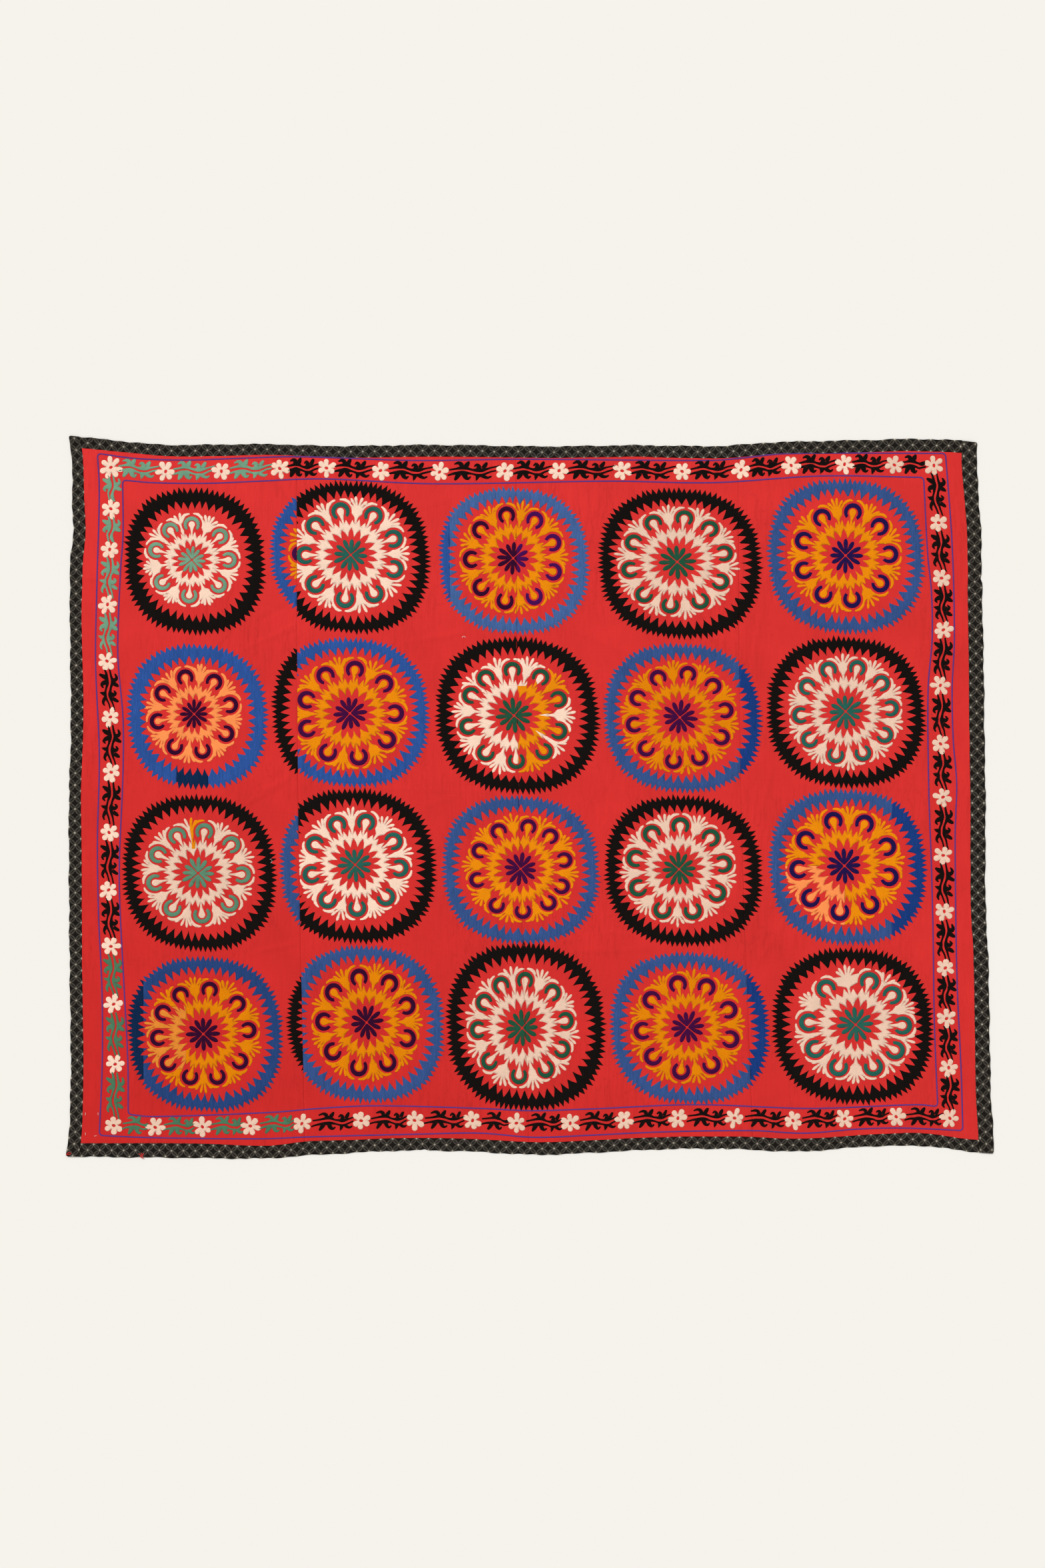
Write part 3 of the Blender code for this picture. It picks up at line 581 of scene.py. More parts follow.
class Shader:
    """A cloth material that is built node by node."""

    def __init__(self, name, roughness, gloss):
        self.material = bpy.data.materials.new(name)
        self.material.use_nodes = True
        self.tree = self.material.node_tree
        self.shader = self.tree.nodes["Principled BSDF"]
        self.shader.inputs["Roughness"].default_value = roughness
        self.shader.inputs["Specular IOR Level"].default_value = gloss

    def node(self, kind, **settings):
        made = self.tree.nodes.new(kind)
        for name, value in settings.items():
            setattr(made, name, value)
        return made

    def feed(self, socket, value):
        if isinstance(value, bpy.types.NodeSocket):
            self.tree.links.new(value, socket)
        else:
            socket.default_value = value

    def math(self, operation, *values):
        made = self.node("ShaderNodeMath", operation=operation)
        for socket, value in zip(made.inputs, values):
            self.feed(socket, value)
        return made.outputs[0]

    def place(self, scale, turn=0.0):
        """The point on the object, turned and scaled, so that 1 is a pattern's cell."""
        mapping = self.node("ShaderNodeMapping")
        self.feed(mapping.inputs["Vector"], self.node("ShaderNodeTexCoord").outputs["Object"])
        mapping.inputs["Scale"].default_value = scale
        mapping.inputs["Rotation"].default_value = (0, 0, turn)
        return mapping.outputs["Vector"]

    def product(self, *values):
        result = values[0]
        for value in values[1:]:
            result = self.math("MULTIPLY", result, value)
        return result

    def noise(self, pace_x, pace_y, detail=2.0, turn=0.0):
        """Noise that changes so many times a metre in each direction."""
        made = self.node("ShaderNodeTexNoise")
        self.feed(made.inputs["Vector"], self.place((pace_x, pace_y, 1), turn))
        made.inputs["Scale"].default_value = 1.0
        made.inputs["Detail"].default_value = detail
        return made.outputs["Fac"]

    def spread(self, value, low, high, start=0.3, end=0.7):
        """A value between start and end as one between low and high."""
        made = self.node("ShaderNodeMapRange")
        self.feed(made.inputs["Value"], value)
        for name, number in (("From Min", start), ("From Max", end), ("To Min", low), ("To Max", high)):
            made.inputs[name].default_value = number
        return made.outputs["Result"]

    def mix(self, share, first, second, blend="MIX"):
        made = self.node("ShaderNodeMix", data_type="RGBA", blend_type=blend)
        for place, value in ((0, share), (6, first), (7, second)):
            self.feed(made.inputs[place], value)
        return made.outputs[2]

    def shade(self, colour, light):
        """A colour made lighter or darker by a factor that varies over the surface."""
        made = self.node("ShaderNodeVectorMath", operation="SCALE")
        self.feed(made.inputs[0], colour[:3] if isinstance(colour, tuple) else colour)
        self.feed(made.inputs["Scale"], light)
        return made.outputs[0]

    def outlined(self, colour):
        """Thread of a colour that darkens to a dark red along its edge."""
        edge = self.node("ShaderNodeAttribute", attribute_name="edge").outputs["Fac"]
        share = self.spread(edge, OUTLINE_STRENGTH, 0.0, 0.0, 1.0)
        self.feed(self.shader.inputs["Base Color"], self.mix(share, colour, linear(OUTLINE)))

    def bump(self, height, distance):
        made = self.node("ShaderNodeBump")
        made.inputs["Distance"].default_value = distance
        made.inputs["Strength"].default_value = 1.0
        self.feed(made.inputs["Height"], height)
        self.feed(self.shader.inputs["Normal"], made.outputs["Normal"])


def flat_stitch(name, colour):
    """Long threads laid up and down the cloth and held by small slanted stitches."""
    cloth = Shader(name, 0.8, 0.05)
    streak = cloth.noise(260, 7, 3)
    thread = cloth.noise(900, 45)
    ties = cloth.noise(380, 560, 1, 0.6)
    patches = cloth.noise(16, 11)
    light = cloth.product(
        cloth.spread(streak, 0.9, 1.1), cloth.spread(thread, 0.8, 1.2),
        cloth.spread(ties, 0.88, 1.12), cloth.spread(patches, 0.93, 1.07),
    )
    cloth.outlined(cloth.shade(linear(colour), light))
    cloth.bump(cloth.math("ADD", thread, cloth.product(ties, 0.6)), 0.3 * MM)
    return cloth.material


def chain_stitch(name, colour):
    """Close rows of small looped stitches."""
    cloth = Shader(name, 0.8, 0.06)
    rows = cloth.noise(330, 330, 3, 0.5)
    patches = cloth.noise(26, 26)
    fading = MOTTLED.get(name, 0.05)
    light = cloth.product(cloth.spread(rows, 0.9, 1.1), cloth.spread(patches, 1 - fading, 1 + fading))
    cloth.outlined(cloth.shade(linear(colour), light))
    cloth.bump(rows, 0.28 * MM)
    return cloth.material


def red_cotton():
    """Plain red weave with painted light: lighter at the top left and darker at the bottom left."""
    cloth = Shader("red_cotton", 0.9, 0.08)
    place = cloth.node("ShaderNodeTexCoord").outputs["Object"]
    split = cloth.node("ShaderNodeSeparateXYZ")
    cloth.feed(split.inputs[0], place)
    half_x, half_y = COTTON_HALF
    across = cloth.spread(split.outputs["X"], 0, 1, -half_x, half_x)
    upward = cloth.spread(split.outputs["Y"], 0, 1, -half_y, half_y)
    # Painted light: the red blends from the lighter top left to the darker bottom left
    top_left, top_right, low_left, low_right = (linear(c) for c in COTTON_CORNERS_WITH_PAINTED_LIGHT)
    colour = cloth.mix(
        upward,
        cloth.mix(across, low_left, low_right),
        cloth.mix(across, top_left, top_right),
    )
    blotches = cloth.noise(7, 7, 4)
    slubs = cloth.noise(620, 11)
    picks = cloth.noise(12, 540)
    weave = cloth.noise(900, 900)
    light = cloth.product(
        cloth.spread(blotches, 0.94, 1.06), cloth.spread(slubs, 0.965, 1.035),
        cloth.spread(picks, 0.985, 1.015), cloth.spread(weave, 0.9, 1.1),
    )
    # Shallow wrinkles where the cloth was folded away, deeper in some places than in others: bumps, and
    # painted shade that darkens the colour along thin crease lines
    upright = cloth.noise(40, 8, turn=0.35)
    slanted = cloth.noise(34, 8, turn=-1.25)
    places = cloth.spread(cloth.noise(4, 4, 1, 1.2), 0.25, 1.0, 0.4, 0.6)
    wrinkles = cloth.product(cloth.math("ADD", upright, slanted), places)
    # Painted shade along each crease line, down to 0.91 of the colour
    for wrinkle in (upright, slanted):
        off_line = cloth.math("ABSOLUTE", cloth.math("SUBTRACT", wrinkle, 0.5))
        line = cloth.product(cloth.spread(off_line, 1, 0, 0.0, 0.02), places)
        light = cloth.product(light, cloth.spread(line, 1.0, 0.91, 0.0, 1.0))
    cloth.feed(cloth.shader.inputs["Base Color"], cloth.shade(colour, light))
    height = cloth.math("ADD", cloth.product(wrinkles, WRINKLE_DEPTH), cloth.math("ADD", slubs, picks))
    cloth.bump(height, 0.12 * MM)
    return cloth.material


def printed_cotton():
    """A dark print of crossing circles, drawn in double lines, with a star at each crossing."""
    cloth = Shader("printed_cotton", 0.85, 0.06)
    uv = cloth.node("ShaderNodeUVMap", uv_map="Strip").outputs["UV"]
    split = cloth.node("ShaderNodeSeparateXYZ")
    cloth.feed(split.inputs[0], uv)
    u = cloth.math("DIVIDE", split.outputs["X"], PRINT_REPEAT[0])
    v = cloth.math("DIVIDE", split.outputs["Y"], PRINT_REPEAT[1])
    diagonals = (cloth.math("ADD", u, v), cloth.math("SUBTRACT", u, v))

    def from_node(value):
        """The distance to the nearest whole number, with its sign."""
        return cloth.math("SUBTRACT", value, cloth.math("ROUND", value))

    near = [from_node(value) for value in diagonals]
    lines = None
    for along, across in ((near[0], near[1]), (near[1], near[0])):
        reach = cloth.math("SUBTRACT", 0.5, cloth.math("ABSOLUTE", along))
        to_tip = cloth.math("SUBTRACT", 0.25, cloth.product(reach, reach))
        for bulge in PETAL_BULGES:
            arc = cloth.product(to_tip, 4 * bulge)
            away = cloth.math("ABSOLUTE", cloth.math("SUBTRACT", cloth.math("ABSOLUTE", across), arc))
            line = cloth.spread(away, 1, 0, PRINT_LINE_WIDTH * 0.4, PRINT_LINE_WIDTH)
            lines = line if lines is None else cloth.math("MAXIMUM", lines, line)
    squares = [cloth.product(value, value) for value in near]
    out = cloth.math("SQRT", cloth.math("ADD", *squares))
    angle = cloth.math("ARCTAN2", *near)
    ray = cloth.spread(cloth.math("COSINE", cloth.product(angle, STAR_RAYS)), 0.03, 0.13, 0.4, 1)
    stars = cloth.spread(cloth.math("SUBTRACT", out, ray), 1, 0, -0.02, 0.02)
    wear = cloth.spread(cloth.noise(90, 90, 3), 0.55, 1.0)
    colour = cloth.mix(cloth.product(lines, wear), linear(PRINT_GROUND), linear(PRINT_LINE))
    colour = cloth.mix(cloth.product(stars, wear), colour, linear(PRINT_STAR))
    cloth.feed(cloth.shader.inputs["Base Color"], colour)
    cloth.bump(cloth.noise(700, 700), 0.15 * MM)
    return cloth.material


def make_materials():
    """Every material by the name of its cloth or thread."""
    made = {"red_cotton": red_cotton(), "printed_cotton": printed_cotton()}
    for name, colour in THREADS.items():
        make = flat_stitch if name in FLAT_STITCHED else chain_stitch
        made[name] = make(f"{name}_thread", colour)
    return made


def add_object(name, data):
    made = bpy.data.objects.new(name, data)
    bpy.context.scene.collection.objects.link(made)
    return made


def add_piece(name, points, faces, material, slot):
    """A piece of the cloth that is shaded smoothly and follows the frame."""
    mesh = bpy.data.meshes.new(name)
    mesh.from_pydata(points, [], faces)
    mesh.materials.append(material)
    mesh.polygons.foreach_set("use_smooth", [True] * len(mesh.polygons))
    mesh.update()
    piece = add_object(name, mesh)
    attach(piece, BODY)
    return piece


def mark_edge(piece, values):
    """Tells the thread's material where its edge is: 0 there, and 1 inside."""
    piece.data.attributes.new("edge", "FLOAT", "POINT").data.foreach_set("value", values)


def edge_spaced(length, step, extra):
    """Shares from 0 to 1 in even steps, with more of them near both ends."""
    count = round(length / step)
    shares = [k / count for k in range(count + 1)]
    near = [place / length for place in extra]
    return sorted(shares + near + [1 - share for share in near])


def make_cotton(number, materials):
    """One strip of red cotton: its face on the ground, a flat back and walls round it."""
    width = float(panel_side(number, 1, 0.0) - panel_side(number, -1, 0.0))
    u = np.array(edge_spaced(width, GRID, SIDE_ROWS))[None, :]
    v = np.array(edge_spaced(PANEL_LENGTH, GRID, END_ROWS))[:, None]
    y = np.zeros((v.size, u.size))
    for _ in range(SETTLE):
        left, right = panel_side(number, -1, y), panel_side(number, 1, y)
        x = left + u * (right - left)
        low, high = inner_edge("bottom", x) + GAP, inner_edge("top", x) - GAP
        y = low + v * (high - low)
    z = ground(x, y)
    rows, columns = x.shape
    points = np.stack([x, y, z], -1).reshape(-1, 3).tolist()
    faces = []
    for r in range(rows - 1):
        for c in range(columns - 1):
            k = r * columns + c
            faces.append((k, k + 1, k + columns + 1, k + columns))
    rim = list(range(columns))
    rim += [r * columns + columns - 1 for r in range(1, rows)]
    rim += [(rows - 1) * columns + c for c in range(columns - 2, -1, -1)]
    rim += [r * columns for r in range(rows - 2, 0, -1)]
    start = len(points)
    points += [(points[k][0], points[k][1], 0.0) for k in rim]
    count = len(rim)
    for k in range(count):
        j = (k + 1) % count
        faces.append((rim[j], rim[k], start + k, start + j))
    faces.append([start + k for k in range(count - 1, -1, -1)])
    piece = add_piece(f"cotton_{number}", points, faces, materials["red_cotton"], "red_cotton")
    for k in range(len(faces) - count - 1, len(faces)):
        piece.data.polygons[k].use_smooth = False
    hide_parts(f"panel_{number}")
    length = float(np.mean(y[-1] - y[0]))
    return piece, (width, length)


def binding_height(side, along, share):
    """The height of the folded strip's face, with the puckers of its hem."""
    width = WIDTH[side](along)
    away = share * width
    outer = min(1.0, away / BINDING_ROUND)
    low, more = BINDING_EDGE
    z = BINDING_CROWN * (low + more * math.sin(outer * math.pi / 2))
    inner = max(0.0, 1 - (1 - share) / HEM_SHARE)
    z -= (BINDING_CROWN - BINDING_SEAM) * inner**1.5
    stitch = 0.5 + 0.5 * math.cos(math.tau * along / HEM_STITCH)
    z -= HEM_DEPTH * stitch * math.exp(-((1 - share) * width / HEM_REACH) ** 2)
    quick, slow = (along / pace for pace in PUCKER_PACES)
    pucker = math.sin(quick + 3 * share) * math.sin(slow + 1.3)
    return z + PUCKER * pucker * math.sin(math.pi * share)


def binding_across(side, along, share):
    """The place across a side of a share of the strip's width, from its outer edge."""
    outer = float(OUTER_EDGE[side](along))
    inner = float(inner_edge(side, along)) + INWARD[side] * BINDING_LAP
    quick, slow = (along / pace for pace in FOLD_WAVER_PACES)
    waver = FOLD_WAVER * math.sin(quick + 2 * math.sin(slow))
    waver += SLOW_WAVER * math.sin(along / SLOW_WAVER_PACE + 2)
    notch = sum(math.exp(-((along / MM - place) / NOTCH_WIDTH) ** 2) for place in NOTCHES[side])
    outer += waver + INWARD[side] * NOTCH_DEPTH * notch
    inner += SEAM_WAVER * math.sin(along / SEAM_WAVER_PACE)
    return outer + (inner - outer) * share


def binding_end(side, direction, share):
    """How far the strip reaches at one end: the upright ones run the cloth's full height."""
    along = direction * BINDING_TRY["level" if side in LEVEL else "upright"]
    for _ in range(SETTLE):
        across = binding_across(side, along, share)
        if side in LEVEL:
            along = float(inner_edge("left" if direction < 0 else "right", across))
        else:
            along = float(OUTER_EDGE["bottom" if direction < 0 else "top"](across))
            short = max(0.0, 1 - share * float(WIDTH[side](along)) / CORNER_ROUND)
            along -= direction * CORNER_ROUND * (1 - math.sqrt(1 - short**2))
    return along


def make_binding(side, materials):
    """A printed strip folded over the cloth's edge."""
    reach = binding_end(side, 1, 0.5) - binding_end(side, -1, 0.5)
    steps = BAKE_ROWS * round(reach / BINDING_STEP / BAKE_ROWS)
    shares = BINDING_SHARES + BACK_SHARES
    ring = len(shares)
    ends = [(binding_end(side, -1, share), binding_end(side, 1, share)) for share in shares]
    points, strip = [], []
    for k in range(steps + 1):
        for j, share in enumerate(shares):
            along = ends[j][0] + (ends[j][1] - ends[j][0]) * k / steps
            across = binding_across(side, along, share)
            z = 0.0 if j >= len(BINDING_SHARES) else binding_height(side, along, share)
            points.append((*on_side(side, along, across), z))
            strip.append((along, (share - 0.5) * float(WIDTH[side](along))))
    first, most = BAKE_FACE
    columns = [first + most * share for share in BINDING_SHARES] + list(BAKE_BACK)
    faces, strips, bakes = [], [], []
    for k in range(steps):
        row = k * BAKE_ROWS // steps
        start = k * BAKE_ROWS / steps - row
        end = start + BAKE_ROWS / steps
        for j in range(ring):
            i = (j + 1) % ring
            near, far = k * ring, (k + 1) * ring
            corners = [(near + j, start, j), (near + i, start, i), (far + i, end, i), (far + j, end, j)]
            faces.append([corner[0] for corner in corners])
            strips += [strip[corner[0]] for corner in corners]
            for _, u, column in corners:
                v = BAKE_LAST if j == ring - 1 and column == 0 else columns[column]
                bakes.append((BAKE_MARGIN + BAKE_SPAN * u, (row + v) / BAKE_ROWS))
    for cap in (list(range(ring)), [steps * ring + j for j in range(ring - 1, -1, -1)]):
        faces.append(cap)
        strips += [strip[k] for k in cap]
        bakes += [(0.0005 + 0.003 * (j / ring), 0.0005 + 0.002 * (j % 2)) for j in range(ring)]
    piece = add_piece(
        f"binding_strip_{side}", points, faces, materials["printed_cotton"], "printed_cotton"
    )
    for name, places in (("Strip", strips), ("OFBake", bakes)):
        layer = piece.data.uv_layers.new(name=name)
        layer.data.foreach_set("uv", [value for place in places for value in place])
    if side in ("top", "left"):
        piece.data.flip_normals()
    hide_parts(f"binding_{side}")
    return piece, (float(WIDTH[side](0.0)), reach)


def segment_distance(points, starts, ends):
    """Each point's distance to the nearest segment."""
    best = np.full(len(points), 1e9)
    run = ends - starts
    square = np.maximum((run**2).sum(1), 1e-18)
    for k in range(0, len(points), BATCH):
        away = points[k : k + BATCH, None, :] - starts[None]
        t = np.clip((away * run[None]).sum(2) / square[None], 0, 1)
        rest = away - t[..., None] * run[None]
        best[k : k + BATCH] = np.sqrt((rest**2).sum(2)).min(1)
    return best


def inside(points, starts, ends):
    """Which points are inside the closed outline that the segments make."""
    found = np.zeros(len(points), bool)
    for k in range(0, len(points), BATCH):
        y = points[k : k + BATCH, 1][:, None]
        x = points[k : k + BATCH, 0][:, None]
        crosses = (starts[None, :, 1] > y) != (ends[None, :, 1] > y)
        rise = ends[:, 1] - starts[:, 1]
        rise = np.where(np.abs(rise) < 1e-12, 1e-12, rise)
        at = starts[None, :, 0] + (y - starts[None, :, 1]) * ((ends[:, 0] - starts[:, 0]) / rise)[None]
        found[k : k + BATCH] = (crosses & (x < at)).sum(1) % 2 == 1
    return found


def triangulate(outlines, kinds, extra):
    """Triangles of the area that is in a shape, in every clip and in no hole, without slivers."""
    points, edges = [], []
    for outline in outlines:
        first = len(points)
        points += [Vector(p) for p in outline]
        count = len(outline)
        edges += [(first + k, first + (k + 1) % count) for k in range(count)]
    points += [Vector(p) for p in extra]
    found, _, faces, _, _, _ = delaunay_2d_cdt(points, edges, [], 0, MERGE)
    found = np.array([(p.x, p.y) for p in found])
    faces = np.array(faces)
    corners = found[faces]
    sides = corners - np.roll(corners, 1, 1)
    doubled = np.abs(sides[:, 0, 0] * sides[:, 1, 1] - sides[:, 0, 1] * sides[:, 1, 0])
    faces = faces[doubled > SLIVER * np.hypot(sides[..., 0], sides[..., 1]).max(1)]
    middles = found[faces].mean(1)
    shown = np.zeros(len(faces), bool)
    hidden = np.zeros(len(faces), bool)
    for outline, kind in zip(outlines, kinds):
        corners = np.array(outline)
        near = (middles >= corners.min(0)).all(1) & (middles <= corners.max(0)).all(1)
        near = np.flatnonzero(near)
        hit = np.zeros(len(faces), bool)
        hit[near[inside(middles[near], corners, np.roll(corners, -1, 0))]] = True
        if kind == "shape":
            shown |= hit
        else:
            hidden |= hit if kind == "hole" else ~hit
    return found, [tuple(face) for face in faces[shown & ~hidden].tolist()]


def rim_of(faces):
    """The directed edges that bound the triangles, with the inside on their left."""
    edges = set()
    for face in faces:
        for a, b in zip(face, face[1:] + face[:1]):
            if (b, a) in edges:
                edges.remove((b, a))
            else:
                edges.add((a, b))
    return list(edges)


def inset_points(points, rim, bevel):
    """Points a bevel's width inside the rim, opposite its corners."""
    before = {b: a for a, b in rim}
    after = {a: b for a, b in rim}
    made = []
    for k in before:
        if k not in after:
            continue
        d1 = points[k] - points[before[k]]
        d2 = points[after[k]] - points[k]
        n1 = np.array([-d1[1], d1[0]]) / max(np.hypot(*d1), 1e-9)
        n2 = np.array([-d2[1], d2[0]]) / max(np.hypot(*d2), 1e-9)
        bisector = n1 + n2
        size = np.hypot(*bisector)
        if size > 0.3:
            made.append(points[k] + bisector / size * bevel / max(size / 2, 0.45))
    return np.array(made).reshape(-1, 2)


def needlework(
    name, colour, materials, shapes, holes=(), clips=(), flush=(),
    rise=RISE, bevel=BEVEL, step=FILL_STEP, drawn=True,
):
    """A patch of stitches: rounded at its edges, draped on the cotton and closed below.

    Along the flush outlines the stitches are cut off at their full height. The dark red edge shows only
    on forms that ask for it.
    """
    outlines = [*shapes, *holes, *clips]
    kinds = ["shape"] * len(shapes) + ["hole"] * len(holes) + ["clip"] * len(clips)
    low_points, low_faces = triangulate(outlines, kinds, [])
    if not low_faces:
        return None
    rim = rim_of(low_faces)
    starts = low_points[[a for a, _ in rim]]
    ends = low_points[[b for _, b in rim]]
    inner = inset_points(low_points, rim, bevel)
    inner = inner[segment_distance(inner, starts, ends) > INSET_CLEAR * bevel]
    low, high = starts.min(0), starts.max(0)
    across, upward = (np.arange(low[k], high[k], step * pace) for k, pace in enumerate(FILL_PACES))
    grid_x, grid_y = np.meshgrid(across, upward)
    grid_x = grid_x + (np.arange(grid_x.shape[0]) % 2)[:, None] * step / 2
    jitter = np.array([[chance.uniform(-1, 1), chance.uniform(-1, 1)] for _ in range(grid_x.size)])
    fill = np.stack([grid_x.ravel(), grid_y.ravel()], -1) + jitter.reshape(-1, 2) * FILL_JITTER * step
    fill = fill[segment_distance(fill, starts, ends) > bevel + FILL_CLEAR * step]
    extra = np.concatenate([inner, fill])
    extra = extra[inside(extra, starts, ends)]
    top_points, top_faces = triangulate(outlines, kinds, extra.tolist())
    used = sorted({k for face in top_faces for k in face})
    number = {k: n for n, k in enumerate(used)}
    top = top_points[used]
    if flush:
        cuts = [np.array(outline) for outline in flush]
        cut_starts = np.concatenate(cuts)
        cut_ends = np.concatenate([np.roll(cut, -1, 0) for cut in cuts])
        free = segment_distance((starts + ends) / 2, cut_starts, cut_ends) > MERGE
        starts, ends = starts[free], ends[free]
    puff = np.clip(segment_distance(top, starts, ends) / bevel, 0, 1)
    z = ground(top[:, 0], top[:, 1]) + RIM_RISE + (rise - RIM_RISE) * np.sin(puff * math.pi / 2) ** PUFF
    points = np.column_stack([top, z]).tolist()
    faces = [[number[k] for k in face] for face in top_faces]
    below = {}
    under = ground(low_points[:, 0], low_points[:, 1]) - SUNK

    def under_point(x, y, height):
        key = (round(x, 7), round(y, 7))
        if key not in below:
            below[key] = len(points)
            points.append((x, y, height))
        return below[key]

    for face in low_faces:
        low_face = [under_point(*low_points[k].tolist(), float(under[k])) for k in face]
        faces.append(low_face[::-1])
    for a, b in rim_of(faces[: len(top_faces)]):
        (ax, ay, az), (bx, by, bz) = points[a], points[b]
        faces.append((b, a, under_point(ax, ay, az - SUNK), under_point(bx, by, bz - SUNK)))
    slot = SLOTS.get(colour, f"{colour}_thread")
    piece = add_piece(name, points, faces, materials[colour], slot)
    face = puff.tolist() if drawn else [1.0] * len(top)
    mark_edge(piece, face + [1.0] * (len(points) - len(top)))
    return piece


def ring_point(x, y, half_x, half_y, squareness, share, angle):
    """A point at a share of a rounded square's radius, in a direction in radians."""
    c, s = math.cos(angle), math.sin(angle)
    reach = share / (abs(c) ** squareness + abs(s) ** squareness) ** (1 / squareness)
    reach *= 1 - RING_SKEW * math.sin(2 * angle) + RING_SAG * math.cos(angle + math.pi / 4)
    return x + half_x * reach * c, y + half_y * reach * s


def toothed_loop(place, count, tip, valley, sway, uneven, bulge):
    """A closed loop of teeth: place turns a share and an angle into a point."""
    loop = []
    pitch = math.tau / count
    start = chance.uniform(0, pitch)
    for k in range(count):
        middle = start + (k + chance.uniform(-TOOTH_SHIFT, TOOTH_SHIFT)) * pitch
        lean = chance.uniform(-sway, sway) * pitch
        top = tip + chance.uniform(-uneven, uneven)
        low = valley + chance.uniform(-uneven, uneven) * 0.5
        half = low + (top - low) * TOOTH_SHOULDER
        loop.append(place(low, middle - pitch / 2))
        loop.append(place(half, middle - pitch * bulge + lean * 0.5))
        loop.append(place(top, middle + lean))
        loop.append(place(half, middle + pitch * bulge + lean * 0.5))
    return loop


def flame_loop(place, count, tip, foot, uneven):
    """The inner edge of a ring: broad red flames between thin spikes of thread."""
    loop = []
    pitch = math.tau / count
    start = chance.uniform(0, pitch)
    for k in range(count):
        middle = start + (k + chance.uniform(-FLAME_SHIFT, FLAME_SHIFT)) * pitch
        lean = chance.uniform(-FLAME_LEAN, FLAME_LEAN) * pitch
        top = tip + chance.uniform(-uneven, uneven)
        low = foot + chance.uniform(-uneven, uneven)
        loop.append(place(low, middle - pitch / 2))
        sides = [(rise, pitch / 2 * (1 - rise) ** FLAME_FULLNESS) for rise in FLAME_HEIGHTS]
        for rise, half in sides:
            loop.append(place(low + (top - low) * rise, middle - half + lean * rise))
        loop.append(place(top, middle + lean))
        for rise, half in sides[::-1]:
            loop.append(place(low + (top - low) * rise, middle + half + lean * rise))
    return loop


def local(medallion, angle):
    """A function that places a rosette's tangential and radial shares in one direction."""
    scale_x = medallion["rosette_half_x"] * MM / LEAF_REACH
    scale_y = medallion["rosette_half_y"] * MM / LEAF_REACH
    c, s = math.cos(angle), math.sin(angle)
    bulge = (abs(c) ** ROSETTE_SQUARENESS + abs(s) ** ROSETTE_SQUARENESS) ** (-1 / ROSETTE_SQUARENESS)

    def place(sideways, outward):
        outward *= bulge
        return (
            medallion["rosette_x"] * MM + scale_x * (outward * c - sideways * s),
            medallion["rosette_y"] * MM + scale_y * (outward * s + sideways * c),
        )

    return place


def pod_angles(medallion):
    """The directions of a rosette's pods in radians."""
    if medallion["name"] in UNEVEN_PODS:
        return [math.radians(degrees) for degrees in UNEVEN_PODS[medallion["name"]]]
    pitch = math.tau / medallion["pods"]
    start = math.radians(medallion["turn"])
    return [start + (k + chance.uniform(-0.05, 0.05)) * pitch for k in range(medallion["pods"])]


def palmette(place, gap, cell, stout):
    """The leaf between two pods: a stem, two horns that hug them and the fingers' base."""
    half = []
    wide = POD_RADIUS * math.sin(gap)
    high = POD_RADIUS * math.cos(gap)
    tip = chance.uniform(-3, 5)

    def round_pod(degrees, reach):
        turn = gap - math.radians(degrees)
        return max(wide + reach * math.sin(turn), 0.004), high + reach * math.cos(turn)

    half += [(x * stout, y) for x, y in LEAF_STEM]
    for degrees in HORN_ARC:
        half.append(round_pod(max(degrees, 8 + tip), cell))
    for degrees, thickness in HORN_THICKNESS:
        half.append(round_pod(degrees + tip, cell + thickness * stout * chance.uniform(0.9, 1.15)))
    half += LEAF_TOP
    return [place(x, y) for x, y in half] + [place(-x, y) for x, y in half[::-1]]


def finger(place, base, turn, length, width):
    """A rounded finger or petal, narrower at its base."""
    c, s = math.cos(turn), math.sin(turn)
    outline = [(along * length, half * width) for along, half in FINGER_SIDES]
    outline += [(length, 0.0)] + [(along, -half) for along, half in outline[::-1]]
    return [place(base[0] + a * s + b * c, base[1] + a * c - b * s) for a, b in outline]


def drop(place, size):
    """A pod's round drop on its thin stem."""
    half = list(DROP_STEM)
    radius = DROP_RADIUS * size * chance.uniform(0.94, 1.06)
    for degrees in DROP_ARC:
        turn = math.radians(degrees)
        half.append((radius * math.sin(turn), POD_RADIUS + radius * math.cos(turn)))
    right = [place(x, y) for x, y in half]
    return right + [place(0.0, POD_RADIUS + radius)] + [place(-x, y) for x, y in half[::-1]]


def horseshoe(place, size):
    """A pod's band, open towards the medallion's middle."""
    opening = chance.uniform(*SHOE_OPENING)
    outer, inner = [], []
    for k in range(SHOE_STEPS + 1):
        degrees = opening + (360 - 2 * opening) * k / SHOE_STEPS
        turn = math.radians(degrees)
        end = math.sin(math.pi * k / SHOE_STEPS)
        band = size * (SHOE_BAND[0] + SHOE_BAND[1] * end)
        wide = size * SHOE_RADIUS * (1 - 0.03 * (1 - end))
        outer.append((wide * math.sin(turn), POD_RADIUS - wide * math.cos(turn)))
        thin = wide - band
        inner.append((thin * math.sin(turn), POD_RADIUS - thin * math.cos(turn)))
    return [place(x, y) for x, y in outer] + [place(x, y) for x, y in inner[::-1]]


def circle(place, x, y, radius, count=10):
    """A round outline."""
    turns = [math.tau * k / count for k in range(count)]
    return [place(x + radius * math.cos(turn), y + radius * math.sin(turn)) for turn in turns]


